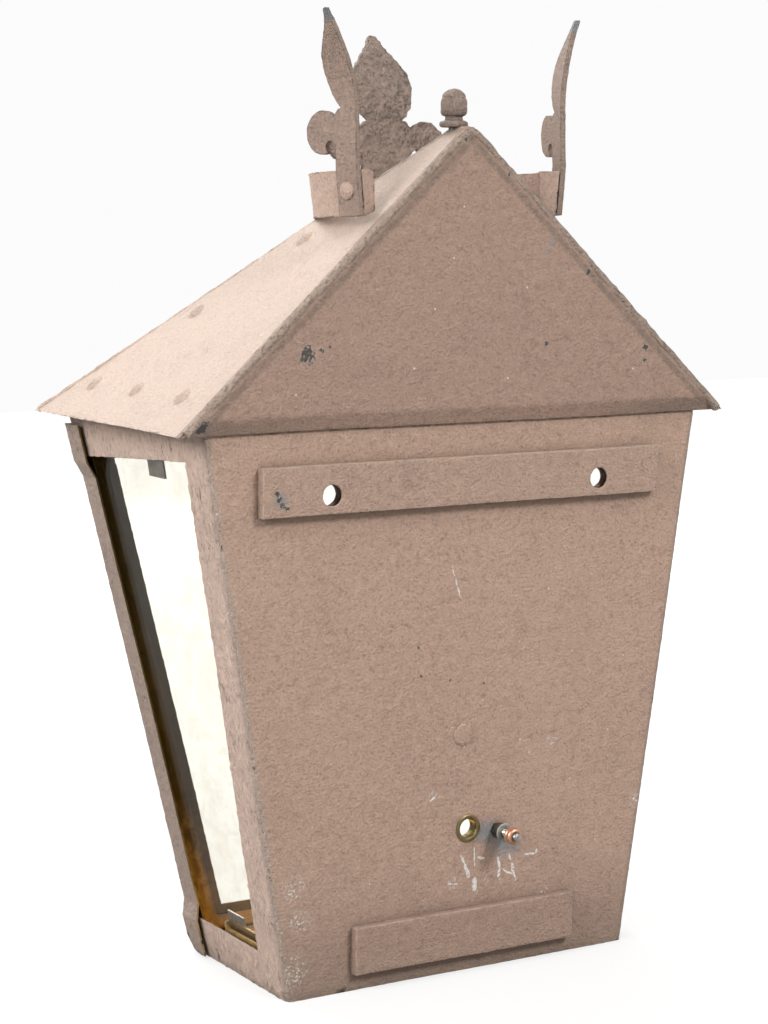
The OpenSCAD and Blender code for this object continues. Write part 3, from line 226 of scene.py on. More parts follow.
# %% A bench for mixing finishes
class Finish:
    """One material being mixed: the methods add nodes and hand back their outputs."""

    def __init__(self, name):
        self.material = bpy.data.materials.new(name)
        self.material.use_nodes = True
        self.nodes = self.material.node_tree.nodes
        self.links = self.material.node_tree.links
        self.nodes.clear()
        self.out = self.nodes.new("ShaderNodeOutputMaterial")
        self.coat = self.nodes.new("ShaderNodeBsdfPrincipled")
        self.links.new(self.coat.outputs[0], self.out.inputs["Surface"])
        self.place = self.nodes.new("ShaderNodeTexCoord").outputs["Object"]

    @classmethod
    def of(cls, material):
        """Takes a mixed finish up again, to add to it."""
        f = cls.__new__(cls)
        f.material, f.nodes, f.links = material, material.node_tree.nodes, material.node_tree.links
        f.out = next(n for n in f.nodes if n.type == "OUTPUT_MATERIAL")
        f.coat = next(n for n in f.nodes if n.type == "BSDF_PRINCIPLED")
        f.place = next(n for n in f.nodes if n.type == "TEX_COORD").outputs["Object"]
        return f

    def plug(self, value, socket):
        """Links an output to a socket, or sets the socket to a number or colour."""
        if isinstance(value, bpy.types.NodeSocket):
            self.links.new(value, socket)
        else:
            socket.default_value = value

    def cloud(self, scale, detail=3.0, rough=0.55, distort=0.0, place=None):
        """Soft cloudy pattern, 0 to 1; scale is in patches per metre."""
        node = self.nodes.new("ShaderNodeTexNoise")
        node.inputs["Scale"].default_value = scale
        node.inputs["Detail"].default_value = detail
        node.inputs["Roughness"].default_value = rough
        node.inputs["Distortion"].default_value = distort
        self.links.new(place or self.place, node.inputs["Vector"])
        return node.outputs["Fac"]

    def cells(self, scale, place=None, feature="F1"):
        """Pattern of scattered points: the distance to the nearest, and its own random number."""
        node = self.nodes.new("ShaderNodeTexVoronoi")
        node.feature = feature
        node.inputs["Scale"].default_value = scale
        self.links.new(place or self.place, node.inputs["Vector"])
        return node.outputs["Distance"], node.outputs["Color"]

    def sum(self, kind, a, b=0.0):
        node = self.nodes.new("ShaderNodeMath")
        node.operation = kind
        self.plug(a, node.inputs[0])
        self.plug(b, node.inputs[1])
        return node.outputs[0]

    def ramp(self, value, low, high, to_low=0.0, to_high=1.0):
        """Turns low..high of a pattern into to_low..to_high, smoothly and clamped."""
        node = self.nodes.new("ShaderNodeMapRange")
        node.interpolation_type = "SMOOTHSTEP"
        self.plug(value, node.inputs["Value"])
        for socket, number in zip(("From Min", "From Max", "To Min", "To Max"),
                                  (low, high, to_low, to_high)):
            node.inputs[socket].default_value = number
        return node.outputs["Result"]

    def blend(self, mask, under, over):
        """Lays one colour over another where the mask says so."""
        node = self.nodes.new("ShaderNodeMix")
        node.data_type = "RGBA"
        self.plug(mask, node.inputs["Factor"])
        self.plug(under, node.inputs["A"])
        self.plug(over, node.inputs["B"])
        return node.outputs["Result"]

    def apart(self, place, point):
        node = self.nodes.new("ShaderNodeVectorMath")
        node.operation = "DISTANCE"
        self.links.new(place, node.inputs[0])
        node.inputs[1].default_value = point
        return node.outputs["Value"]

    def near(self, point, radius, softness=0.5):
        """1 close to a point of the lantern, falling to 0 at a radius in mm."""
        return self.ramp(self.apart(self.place, point), radius * MM * softness, radius * MM, 1.0, 0.0)

    def any_near(self, *places):
        """1 close to any of several points, each given with its radius in mm."""
        found = None
        for point, radius in places:
            here = self.near(point, radius, 0.05)
            found = self.sum("MAXIMUM", found, here) if found else here
        return found

    def stroke(self, start, end, width, place):
        """1 on a line from one point to another. Its half width is in mm."""
        length = (end - start).length
        both = self.sum("ADD", self.apart(place, start), self.apart(place, end))
        wide = math.hypot(length, 2 * width * MM)
        return self.ramp(both, length * 0.35 + wide * 0.65, wide, 1.0, 0.0)

    def beside(self, point, along, radius, softness=0.5):
        """1 on an endless straight line, falling to 0 at a radius in mm."""
        away = self.nodes.new("ShaderNodeVectorMath")
        away.operation = "SUBTRACT"
        self.links.new(self.place, away.inputs[0])
        away.inputs[1].default_value = point
        arm = self.nodes.new("ShaderNodeVectorMath")
        arm.operation = "CROSS_PRODUCT"
        self.links.new(away.outputs[0], arm.inputs[0])
        arm.inputs[1].default_value = Vector(along).normalized()
        size = self.nodes.new("ShaderNodeVectorMath")
        size.operation = "LENGTH"
        self.links.new(arm.outputs[0], size.inputs[0])
        return self.ramp(size.outputs["Value"], radius * MM * softness, radius * MM, 1.0, 0.0)

    def shaken(self, scale, reach):
        """The place, pushed about by a noise, so that a straight stroke comes out ragged; mm."""
        node = self.nodes.new("ShaderNodeTexNoise")
        node.inputs["Scale"].default_value = scale
        node.inputs["Detail"].default_value = 3.0
        self.links.new(self.place, node.inputs["Vector"])
        push = self.nodes.new("ShaderNodeVectorMath")
        push.operation = "MULTIPLY_ADD"
        self.links.new(node.outputs["Color"], push.inputs[0])
        push.inputs[1].default_value = (2 * reach * MM,) * 3
        push.inputs[2].default_value = (-reach * MM,) * 3
        moved = self.nodes.new("ShaderNodeVectorMath")
        moved.operation = "ADD"
        self.links.new(self.place, moved.inputs[0])
        self.links.new(push.outputs[0], moved.inputs[1])
        return moved.outputs[0]

    def stretched(self, scale, turn=(0, 0, 0)):
        """The place, squeezed and turned, for grain that runs one way."""
        node = self.nodes.new("ShaderNodeMapping")
        node.inputs["Scale"].default_value = scale
        node.inputs["Rotation"].default_value = turn
        self.links.new(self.place, node.inputs["Vector"])
        return node.outputs["Vector"]

    def axis(self, name):
        """One of the place's three numbers, in the frame's metres."""
        node = self.nodes.new("ShaderNodeSeparateXYZ")
        self.links.new(self.place, node.inputs[0])
        return node.outputs[name]

    def height(self):
        return self.axis("Z")

    def edges(self, radius):
        """1 where a sharp edge is within a radius in mm, 0 on the flat."""
        geometry = self.nodes.new("ShaderNodeNewGeometry")
        rounded = self.nodes.new("ShaderNodeBevel")
        rounded.samples = 4
        rounded.inputs["Radius"].default_value = radius * MM
        same = self.nodes.new("ShaderNodeVectorMath")
        same.operation = "DOT_PRODUCT"
        self.links.new(rounded.outputs[0], same.inputs[0])
        self.links.new(geometry.outputs["Normal"], same.inputs[1])
        return self.ramp(same.outputs["Value"], 0.78, 0.99, 1.0, 0.0)

    def shade_in_hollows(self, reach):
        """Painted shade: 1 deep in corners and under laps, where little light reaches, 0 in the open; reach in mm."""
        node = self.nodes.new("ShaderNodeAmbientOcclusion")
        node.samples = 6
        node.inputs["Distance"].default_value = reach * MM
        return self.ramp(node.outputs["AO"], 0.35, 0.95, 1.0, 0.0)

    def bumps(self, *layers):
        """Stacks relief layers, each a pattern and its depth in mm, onto the coat."""
        normal = None
        for pattern, depth in layers:
            node = self.nodes.new("ShaderNodeBump")
            node.inputs["Strength"].default_value = 1.0
            node.inputs["Distance"].default_value = depth * MM
            self.links.new(pattern, node.inputs["Height"])
            if normal:
                self.links.new(normal, node.inputs["Normal"])
            normal = node.outputs["Normal"]
        self.links.new(normal, self.coat.inputs["Normal"])

    def set(self, **values):
        """Sets the coat's sockets, named in small letters with _ for a space."""
        for name, value in values.items():
            self.plug(value, self.coat.inputs[name.replace("_", " ").title().replace("Ior", "IOR")])
        return self


print("finishes can be mixed now")

# %% [markdown]
# ## The aged taupe paint
# Up close the paint is thick and grainy, like the skin of an orange. Every millimetre or two it
# turns a little lighter or darker. Small dark strokes and pits show where bubbles broke, a few
# pale grains of dust are caught in it, and along cut edges it has worn down to dark metal. The
# body's corners are rubbed grey with white specks, and painted shade darkens the paint in the
# corners and under the laps. Each of these is one mask, and they are laid over each other from
# the widest to the finest.
#
# Marks that the photograph shows in one place are set there: the plaster strokes under the
# earth stud, the bluish stain round it, which also paints the stud's shadow, one long scratch on
# the plate and the chips in the gable's paint. The same recipe serves the body, the roof and the fleurs.

# %% Mix the taupe paint
TAUPE = (0.470, 0.315, 0.240, 1)
WORN_METAL = (0.060, 0.048, 0.032, 1)
RUBBED_GREY = (0.270, 0.235, 0.205, 1)
# Bluish grey for bare metal and stains; round the earth stud it also paints the stud's shadow.
STEEL_BLUE_AND_SHADOW = (0.250, 0.265, 0.275, 1)
DUST_WHITE = (0.80, 0.76, 0.70, 1)
CHALK = (0.84, 0.81, 0.77, 1)
# Dark brown for the pits, for the darker foot of the back plate, and for painted shade in corners, under laps and along
# the gable's foot.
GRIME_AND_SHADE = (0.150, 0.118, 0.092, 1)
CHIP_BLACK = (0.045, 0.040, 0.038, 1)
PALE_RIM = (0.50, 0.46, 0.42, 1)

CHALK_STROKES = [
    ((0.9, 57.4), (-1.2, 53.3), 0.30), ((-1.2, 53.3), (-4.0, 45.6), 0.38), ((-7.1, 45.4), (-7.2, 38.4), 0.45),
    ((-7.0, 61.0), (-7.0, 48.8), 0.14), ((-8.4, 55.2), (-12.9, 53.9), 0.22), ((-20.6, 53.6), (-21.8, 48.0), 0.30),
    ((-21.8, 48.0), (-20.7, 43.4), 0.32), ((-27.0, 54.3), (-28.4, 50.6), 0.20), ((-28.4, 50.6), (-31.0, 41.2), 0.30),
    ((-23.4, 47.1), (-29.9, 43.3), 0.26), ((-36.2, 52.9), (-43.2, 52.4), 0.24), ((-43.2, 52.8), (-43.8, 54.3), 0.3),
    ((9.0, 44.3), (-0.1, 43.2), 0.14), ((19.0, 86.4), (15.5, 88.6), 0.22), ((6.9, 199.7), (1.7, 183.4), 0.16)]
CHALK_PATCHES = [((-7.8, 38.6), 2.4), ((-22.0, 41.4), 2.0), ((-30.6, 41.0), 1.8), ((-31.5, 50.0), 1.6),
                 ((-48.0, 31.5), 5.0), ((-13.5, 42.4), 2.6), ((5.0, 44.2), 5.0), ((94.0, 240.0), 9.0),
                 ((-103.6, 71.6), 6.0), ((-39.0, 104.0), 4.0), ((-53.0, 109.0), 5.0), ((17.0, 88.0), 5.0),
                 ((93.0, 54.0), 9.0), ((90.0, 38.0), 8.0), ((94.0, 14.0), 11.0)]
# The bluish stain round the earth stud, which also paints the stud's shadow on the plate.
STUD_STAIN_AND_SHADOW = [((-15.0, 67.0), 10.0), ((-24.0, 60.5), 12.0), ((-10.0, 67.5), 7.0), ((-30.0, 57.5), 7.0)]
PLATE_CHIPS = [((24.0, 148.0), 1.6), ((7.7, 144.6), 1.4), ((-11.8, 140.7), 1.5), ((25.7, 161.8), 1.7)]
GABLE_CHIPS = [((88.0, 302.9), 8.5), ((80.3, 304.9), 2.6), ((76.1, 306.2), 1.5), ((73.5, 309.3), 1.3),
               ((3.5, 400.6), 2.6), ((-21.2, 384.6), 2.4), ((-42.6, 366.9), 3.0), ((-67.5, 338.1), 2.8),
               ((-43.4, 304.1), 2.6), ((-102.5, 300.9), 3.8), ((-102.0, 294.5), 2.4), ((15.3, 270.6), 2.0),
               ((-16.2, 270.7), 2.2), ((141.0, 271.5), 7.5)]
BAR_CHIPS = [((103.8, 240.6), 2.6), ((102.6, 237.8), 3.2), ((101.0, 235.0), 3.0), ((98.6, 233.4), 2.4)]
BAR_BLUE = [((102.0, 237.5), 5.0)]
GABLE_BLUE = [((-45.6, 353.1), 3.0), ((-44.0, 348.5), 2.2), ((-111.6, 304.6), 3.4), ((-146.0, 270.5), 4.0)]


WORN_PALE = (0.640, 0.580, 0.510, 1)
LIP_DIRT = (0.150, 0.120, 0.092, 1)


def shade(tone, by):
    """A tone made lighter or darker by a factor."""
    return tuple(min(1.0, c * by) for c in tone[:3]) + (1,)


def on_plane_at(y, marks):
    """Marks given by x and height, as points on a plane y mm out from the plate's face."""
    return [(spot(x, y, z), radius) for (x, z), radius in marks]


def taupe_paint(name, tone=TAUPE, grain=1.0, contrast=1.3, wear=1.0, pits=1.0, run=(1, 1, 1), fine=1.0,
                rim=WORN_METAL, marks=None, foot=None, corners=False):
    """The painted finish. run stretches the grain, fine makes it finer, rim is the tone of worn
    edges and foot gives the heights of a darker band, which on the gable is painted shade. corners
    is True on sheets that meet in a soldered corner, None on the gable, which has a lip instead."""
    f = Finish(name)
    light, dark = shade(tone, 1.24), shade(tone, 0.62)
    streaks = f.stretched(run)
    wide = f.cloud(9, 4, 0.6)
    patches = f.cloud(48, 5, 0.62, 0.4)
    mottle = f.cloud(210 * fine, 5, 0.68, 0.3, streaks)
    skin = f.cloud(760 * fine, 4, 0.66, 0.0, streaks)
    sand = f.cloud(1900, 2, 0.6)
    colour = f.blend(f.ramp(wide, 0.30, 0.72, 0.0, 0.34), tone, light)
    colour = f.blend(f.ramp(patches, 0.50, 0.78, 0.0, 0.34), colour, dark)
    colour = f.blend(f.ramp(mottle, 0.50, 0.70, 0.0, min(1.0, 0.46 * contrast)), colour, light)
    colour = f.blend(f.ramp(mottle, 0.28, 0.47, min(1.0, 0.42 * contrast), 0.0), colour, dark)
    colour = f.blend(f.ramp(skin, 0.32, 0.47, min(1.0, 0.42 * contrast), 0.0), colour, dark)
    colour = f.blend(f.ramp(skin, 0.53, 0.68, 0.0, min(1.0, 0.50 * contrast)), colour, light)

    pock = f.cloud(430 * fine, 4, 0.7, 0.6, streaks)
    pit = f.sum("MULTIPLY", f.ramp(pock, 0.69 - 0.018 * pits, 0.73 - 0.018 * pits), f.ramp(patches, 0.44, 0.62))
    colour = f.blend(f.sum("MULTIPLY", pit, 0.75), colour, GRIME_AND_SHADE)
    dust_far, dust_kind = f.cells(190)
    dust = f.sum("MULTIPLY", f.ramp(dust_far, 0.06, 0.13, 1.0, 0.0), f.ramp(dust_kind, 0.87, 0.89))
    colour = f.blend(f.sum("MULTIPLY", dust, 0.75), colour, DUST_WHITE)

    # Painted shade: the paint is darkened in corners and under laps, where the light is blocked.
    corner_shade = f.shade_in_hollows(8)
    colour = f.blend(f.sum("MULTIPLY", corner_shade, 0.50), colour, GRIME_AND_SHADE)
    edge = f.edges(1.3)
    if corners:
        seam = None
        for side in (-1, 1):
            band = f.beside(spot(side * HALF_FOOT, 0, 0), (side * SIDE_RUN, 0, 1), 4.4, 0.42)
            seam = f.sum("MAXIMUM", seam, band) if seam else band
        edge = f.sum("MULTIPLY", edge, f.sum("SUBTRACT", 1.0, seam))
        rub = f.sum("MULTIPLY", seam, f.ramp(mottle, 0.36, 0.60, 0.05, 0.50))
        colour = f.blend(rub, colour, RUBBED_GREY)
        speck = f.sum("MULTIPLY", seam, f.ramp(f.cloud(700, 3, 0.65), 0.63, 0.67))
        colour = f.blend(f.sum("MULTIPLY", speck, 0.6), colour, DUST_WHITE)
    worn = f.sum("MULTIPLY", edge, f.ramp(f.cloud(150, 5, 0.7), 0.58 - 0.06 * wear, 0.66 - 0.06 * wear))
    rubbed = f.sum("MULTIPLY", edge, f.ramp(f.cloud(70, 3, 0.6), 0.35, 0.65, 0.0, 0.45 * wear))
    colour = f.blend(rubbed, colour, light)
    colour = f.blend(f.sum("MULTIPLY", worn, min(1.0, 0.80 * wear)), colour, rim)

    # A band low on the sheet is darkened: on the gable, just above the eave, it is painted shade; on the back plate the
    # paint is darker towards the foot.
    if foot:
        low, high, plain = foot
        lumps = f.sum("ADD", f.height(), f.sum("MULTIPLY", f.sum("SUBTRACT", f.cloud(60, 4, 0.6), 0.5), 11 * MM))
        band = f.ramp(lumps, (low - SCREW_Z) * MM, (high - SCREW_Z) * MM, 1.0, 0.0)
        out_from_middle = f.sum("ABSOLUTE", f.axis("X"))
        band = f.sum("MULTIPLY", band, f.ramp(out_from_middle, 0.060, 0.140, plain, 0.42))
        colour = f.blend(band, colour, GRIME_AND_SHADE)
    if foot and corners is None:
        for side in (-1, 1):
            inner = spot(0, EAVE_BACK, APEX_Z - 5.6 / math.cos(SLOPE_ANGLE))
            lap = f.beside(inner, (side * math.cos(SLOPE_ANGLE), 0, -math.sin(SLOPE_ANGLE)), 2.8, 0.15)
            lap = f.sum("MULTIPLY", lap, f.ramp(mottle, 0.34, 0.58, 0.12, 0.62))
            colour = f.blend(lap, colour, LIP_DIRT)
    if marks:
        ragged = f.cloud(620, 4, 0.75)
        chips, stains_and_shadow, height = marks
        # Bluish stains; round the earth stud they also paint the stud's shadow.
        if stains_and_shadow:
            film = f.sum("MULTIPLY", f.any_near(*on_plane_at(height, stains_and_shadow)), f.ramp(patches, 0.30, 0.55, 0.4, 0.9))
            colour = f.blend(film, colour, STEEL_BLUE_AND_SHADOW)
        here = f.sum("ADD", f.any_near(*on_plane_at(height, chips)), f.sum("MULTIPLY", ragged, 3.0))
        colour = f.blend(f.sum("MULTIPLY", f.ramp(here, 1.95, 2.10), 0.45), colour, PALE_RIM)
        colour = f.blend(f.sum("MULTIPLY", f.ramp(here, 2.10, 2.22), 0.9), colour, CHIP_BLACK)
    if marks and height == 0:
        shaken = f.shaken(420, 0.9)
        plaster = f.sum("MULTIPLY", f.any_near(*on_plane_at(0, CHALK_PATCHES)), f.ramp(ragged, 0.53, 0.60))
        for (ax, az), (bx, bz), width in CHALK_STROKES:
            line = f.stroke(spot(ax, 0, az), spot(bx, 0, bz), width * 2.8, shaken)
            plaster = f.sum("MAXIMUM", plaster, f.sum("MULTIPLY", line, f.ramp(ragged, 0.38, 0.48)))
        colour = f.blend(plaster, colour, CHALK)

    f.set(base_color=colour, roughness=f.ramp(mottle, 0.3, 0.7, 0.60, 0.80), specular_ior_level=0.5)
    dents = f.sum("SUBTRACT", skin, f.sum("MULTIPLY", pit, 0.5))
    f.bumps((patches, 0.6 * grain), (mottle, 1.1 * grain), (dents, 1.0 * grain), (sand, 0.16 * grain),
            (f.sum("SUBTRACT", 1.0, worn), 0.12))
    return f.material


body_paint = taupe_paint("taupe_body_paint", marks=(PLATE_CHIPS, STUD_STAIN_AND_SHADOW, 0), corners=True,
                         contrast=1.6, foot=(2.0, 58.0, 0.38))
gable_paint = taupe_paint("taupe_gable_paint", tone=(0.376, 0.250, 0.190, 1), contrast=1.5, wear=1.3,
                          marks=(GABLE_CHIPS, GABLE_BLUE, EAVE_BACK), foot=(271.5, 276.5, 0.0), corners=None)
lip_paint = taupe_paint("taupe_lip_paint", tone=(0.400, 0.300, 0.240, 1), grain=2.0, contrast=2.4, wear=1.6,
                        pits=6, fine=0.8)
# The roof's paint is paler and greyer than the body's: part of the slopes' white sheen is painted into it.
roof_paint = taupe_paint("taupe_roof_paint", tone=(0.530, 0.408, 0.334, 1), grain=1.2, contrast=1.0, wear=1.0)
stud_paint = taupe_paint("taupe_stud_paint", tone=(0.500, 0.375, 0.305, 1), grain=1.4, contrast=1.3, pits=2)
bar_marks = (BAR_CHIPS, BAR_BLUE, BAR_DEPTH)
bar_paint = taupe_paint("taupe_bar_paint", tone=(0.470, 0.318, 0.245, 1), grain=1.3, contrast=1.6, wear=2.0,
                        rim=WORN_PALE, marks=bar_marks)
low_bar_paint = taupe_paint("taupe_low_bar_paint", tone=(0.415, 0.280, 0.214, 1), grain=1.3, contrast=1.6, wear=2.4,
                            rim=WORN_PALE, marks=bar_marks)
door_paint = taupe_paint("taupe_door_paint", tone=(0.390, 0.290, 0.238, 1), grain=1.9, contrast=1.8, wear=1.3,
                         pits=4, fine=0.85)
rail_paint = taupe_paint("taupe_rail_paint", tone=(0.600, 0.440, 0.360, 1), grain=1.9, contrast=1.9, wear=1.3,
                         pits=4, run=(1, 1, 0.45), fine=0.85, rim=WORN_PALE, corners=True)
corner_paint = taupe_paint("taupe_corner_paint", tone=(0.450, 0.345, 0.285, 1), grain=1.6, contrast=1.6, wear=0.4,
                           pits=3)
band_paint = taupe_paint("taupe_band_paint", tone=(0.570, 0.405, 0.325, 1), grain=1.7, contrast=1.6, wear=1.4,
                         pits=2.5)
fleur_paint = taupe_paint("taupe_fleur_paint", tone=(0.345, 0.258, 0.210, 1), grain=2.4, contrast=3.0, wear=1.4,
                          pits=9, fine=0.85)
finial_paint = taupe_paint("taupe_finial_paint", tone=(0.330, 0.245, 0.200, 1), grain=2.4, contrast=2.4, wear=1.8, pits=5,
                           fine=0.8, rim=WORN_PALE)
print("paints:", [m.name for m in bpy.data.materials if m.name.startswith("taupe")])

# %% [markdown]
# The two half fleurs are smoother and lighter than the front one, and their tips are rubbed
# down to bluish grey metal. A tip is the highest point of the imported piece, so it is looked up.

# %% Mix the half fleurs' paint
def tip_of(node):
    """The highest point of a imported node."""
    return max((v.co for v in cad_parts[node].data.vertices), key=lambda p: p.z).copy()


def half_fleur_paint(name, tone, tip):
    material = taupe_paint(name, tone, grain=2.0, contrast=1.9, wear=1.6)
    f = Finish.of(material)
    bare = f.sum("ADD", f.near(tip, 12, 0.2), f.sum("MULTIPLY", f.cloud(260, 4, 0.7), 0.8))
    rims = f.sum("MULTIPLY", f.edges(1.0), 0.55)
    under = f.coat.inputs["Base Color"].links[0].from_socket
    colour = f.blend(rims, under, RUBBED_GREY)
    f.set(base_color=f.blend(f.ramp(bare, 0.80, 1.05, 0.0, 0.85), colour, STEEL_BLUE_AND_SHADOW))
    return material


fleur_right_paint = half_fleur_paint("taupe_half_fleur_right", (0.415, 0.298, 0.238, 1), tip_of("fleur_right"))
fleur_left_paint = half_fleur_paint("taupe_half_fleur_left", (0.345, 0.250, 0.200, 1), tip_of("fleur_left"))
print("half fleurs' paint mixed")

# %% [markdown]
# ## Bare metals, ceramic and glass
# Inside, the sheet was never painted and its brass has gone from gold low down to olive brown
# higher up. The earth stud is zinc-plated steel with a bluish nut, its outer nut is copper
# coloured. Each metal gets cloudy tarnish, fine brush lines and spots, so that none is one flat
# colour, and painted shade in its hollows; the door's brass also gets a painted line of shade
# where it meets the floor. The panes are old cream-tinted glass, slightly wavy.

# %% Mix the metals
def aged_metal(name, bright, dull, dark, shine=0.35, haze=0.55, lines=(900, 900, 60), climb=None,
               shade_line=None, metal=0.9, gloss=0.5):
    """Bare metal. climb darkens it between two heights, shade_line paints a dark line of shade at a height."""
    f = Finish(name)
    film = f.cloud(120, 5, 0.65, 0.5)
    spots = f.cloud(700, 3, 0.6)
    brushed = f.cloud(1, 2, 0.5, 0.0, f.stretched(lines))
    colour = f.blend(f.ramp(film, 0.38, 0.66), bright, dull)
    colour = f.blend(f.ramp(spots, 0.58, 0.72, 0.0, 0.6), colour, dark)
    if climb:
        low, high, stain = climb
        rise = f.sum("ADD", f.height(), f.sum("MULTIPLY", f.sum("SUBTRACT", film, 0.5), 60 * MM))
        colour = f.blend(f.ramp(rise, (low - SCREW_Z) * MM, (high - SCREW_Z) * MM, 0.0, 0.9), colour, stain)
    # Painted shade: a dark line at one height; on the door it lies where the door meets the floor.
    if shade_line:
        line = f.sum("SUBTRACT", f.height(), (shade_line - SCREW_Z) * MM)
        colour = f.blend(f.ramp(f.sum("ABSOLUTE", line), 0.6 * MM, 1.4 * MM, 0.92, 0.0), colour, (0.02, 0.015, 0.01, 1))
    # Painted shade: the metal is darkened in its hollows.
    colour = f.blend(f.sum("MULTIPLY", f.shade_in_hollows(3), 0.7), colour, dark)
    f.set(base_color=colour, metallic=metal, specular_ior_level=gloss, roughness=f.ramp(film, 0.3, 0.7, shine, haze))
    f.bumps((brushed, 0.03), (spots, 0.05), (film, 0.08))
    return f.material


inner_brass = aged_metal("old_inner_brass", (0.62, 0.38, 0.10, 1), (0.36, 0.20, 0.045, 1),
                         (0.075, 0.045, 0.014, 1), 0.32, 0.5, climb=(28, 95, (0.085, 0.058, 0.020, 1)))
door_brass = aged_metal("old_door_brass", (0.60, 0.40, 0.16, 1), (0.36, 0.22, 0.07, 1),
                        (0.100, 0.066, 0.020, 1), 0.34, 0.5, climb=(24, 78, (0.125, 0.080, 0.020, 1)), shade_line=7.7,
                        metal=0.35, gloss=0.15)
floor_brass = aged_metal("pale_floor_brass", (0.75, 0.52, 0.28, 1), (0.60, 0.40, 0.20, 1),
                         (0.25, 0.16, 0.08, 1), 0.34, 0.5)
channel_brass = aged_metal("mottled_channel_brass", (0.66, 0.44, 0.18, 1), (0.34, 0.21, 0.07, 1),
                           (0.09, 0.055, 0.02, 1), 0.28, 0.5)
ferrule_brass = aged_metal("olive_ferrule_brass", (0.34, 0.26, 0.12, 1), (0.19, 0.145, 0.065, 1),
                           (0.06, 0.045, 0.025, 1), 0.3, 0.5)
knob_brass = aged_metal("handled_knob_brass", (0.66, 0.47, 0.20, 1), (0.42, 0.28, 0.10, 1),
                        (0.12, 0.08, 0.03, 1), 0.22, 0.45)
clip_steel = aged_metal("dull_clip_steel", (0.52, 0.50, 0.45, 1), (0.36, 0.34, 0.30, 1),
                        (0.14, 0.12, 0.10, 1), 0.35, 0.6)
stud_steel = aged_metal("pale_stud_steel", (0.74, 0.73, 0.69, 1), (0.32, 0.33, 0.30, 1),
                        (0.060, 0.062, 0.058, 1), 0.26, 0.5)
lock_steel = aged_metal("dark_nut_steel", (0.16, 0.15, 0.13, 1), (0.08, 0.075, 0.065, 1),
                        (0.03, 0.028, 0.026, 1), 0.4, 0.65)
hinge_iron = aged_metal("dark_hinge_iron", (0.16, 0.14, 0.12, 1), (0.09, 0.075, 0.06, 1),
                        (0.035, 0.025, 0.02, 1), 0.45, 0.7)
nut_copper = aged_metal("orange_nut_copper", (0.86, 0.52, 0.38, 1), (0.62, 0.29, 0.18, 1),
                        (0.20, 0.10, 0.06, 1), 0.3, 0.5)


# %% [markdown]
# The lampholder's ceramic is glazed: pale, with a clear gloss over a body that is slightly
# speckled, and painted shade turns it brown in its grooves. The glass is a clear shader that lets shadow rays
# straight through, because otherwise each pane would throw a dark shadow into the lantern.

# %% Mix the ceramic and the glass
def glazed_ceramic():
    f = Finish("glazed_lamp_ceramic")
    speckle = f.cloud(900, 3, 0.6)
    flow = f.cloud(60, 3, 0.5)
    colour = f.blend(f.ramp(flow, 0.35, 0.7), (0.80, 0.77, 0.69, 1), (0.72, 0.67, 0.57, 1))
    colour = f.blend(f.ramp(speckle, 0.62, 0.74, 0.0, 0.5), colour, (0.42, 0.34, 0.24, 1))
    # Painted shade: the glaze is darkened to brown in its grooves.
    colour = f.blend(f.sum("MULTIPLY", f.shade_in_hollows(4), 0.6), colour, (0.20, 0.15, 0.10, 1))
    f.set(base_color=colour, roughness=f.ramp(flow, 0.3, 0.7, 0.16, 0.30), coat_weight=0.4, coat_roughness=0.08)
    f.bumps((flow, 0.25), (speckle, 0.02))
    return f.material


def old_glass(name, tint, veil):
    f = Finish(name)
    wave = f.cloud(26, 2, 0.5)
    film = f.cloud(90, 4, 0.6, 0.6)
    seeds, seed_kind = f.cells(75)
    seed = f.sum("MULTIPLY", f.ramp(seeds, 0.02, 0.05, 1.0, 0.0), f.ramp(seed_kind, 0.86, 0.9))
    # Painted shade: the glass is tinted brown where a frame is close.
    frame_shade = f.sum("MULTIPLY", f.shade_in_hollows(5), f.ramp(film, 0.42, 0.6))
    colour = f.blend(f.ramp(film, 0.4, 0.75, 0.0, 0.3), tint, veil)
    colour = f.blend(f.sum("MULTIPLY", frame_shade, 0.20), colour, (0.55, 0.44, 0.28, 1))
    f.set(base_color=colour, roughness=0.0, transmission_weight=1.0, ior=1.15, specular_ior_level=0.15)
    f.bumps((wave, 0.008), (seed, 0.02))
    clear = f.nodes.new("ShaderNodeBsdfTransparent")
    clear.inputs["Color"].default_value = tint
    path = f.nodes.new("ShaderNodeLightPath")
    either = f.nodes.new("ShaderNodeMixShader")
    f.links.new(path.outputs["Is Shadow Ray"], either.inputs["Fac"])
    f.links.new(f.coat.outputs[0], either.inputs[1])
    f.links.new(clear.outputs[0], either.inputs[2])
    f.links.new(either.outputs[0], f.out.inputs["Surface"])
    return f.material


lamp_ceramic = glazed_ceramic()
side_pane_glass = old_glass("clear_side_glass", (0.992, 0.988, 0.965, 1), (0.984, 0.978, 0.948, 1))
door_pane_glass = old_glass("cream_door_glass", (0.982, 0.968, 0.895, 1), (0.968, 0.948, 0.860, 1))
print("finishes:", len(bpy.data.materials))

# %% [markdown]
# ## Working a sheet by hand
# A packed sheet is perfectly flat and sharp. The real ones were cut with snips, folded over a
# stake and painted thick. To get there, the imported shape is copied, its sharp edges are broken,
# it is sliced into a fine mesh, its folds are rounded, and then every point is moved a little.
# Two movements are added: a wide one that is the same for all sheets, so that neighbours stay
# together, and a fine rough one that is strongest at cut edges.

# %% Copy, break the edges and slice
SMOOTH_ANGLE = math.radians(38)


def copied(node):
    """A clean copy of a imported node's mesh."""
    bm = bmesh.new()
    bm.from_mesh(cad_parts[node].data)
    bmesh.ops.remove_doubles(bm, verts=bm.verts, dist=0.002 * MM)
    bmesh.ops.dissolve_limit(bm, angle_limit=math.radians(0.5), verts=bm.verts, edges=bm.edges)
    return bm


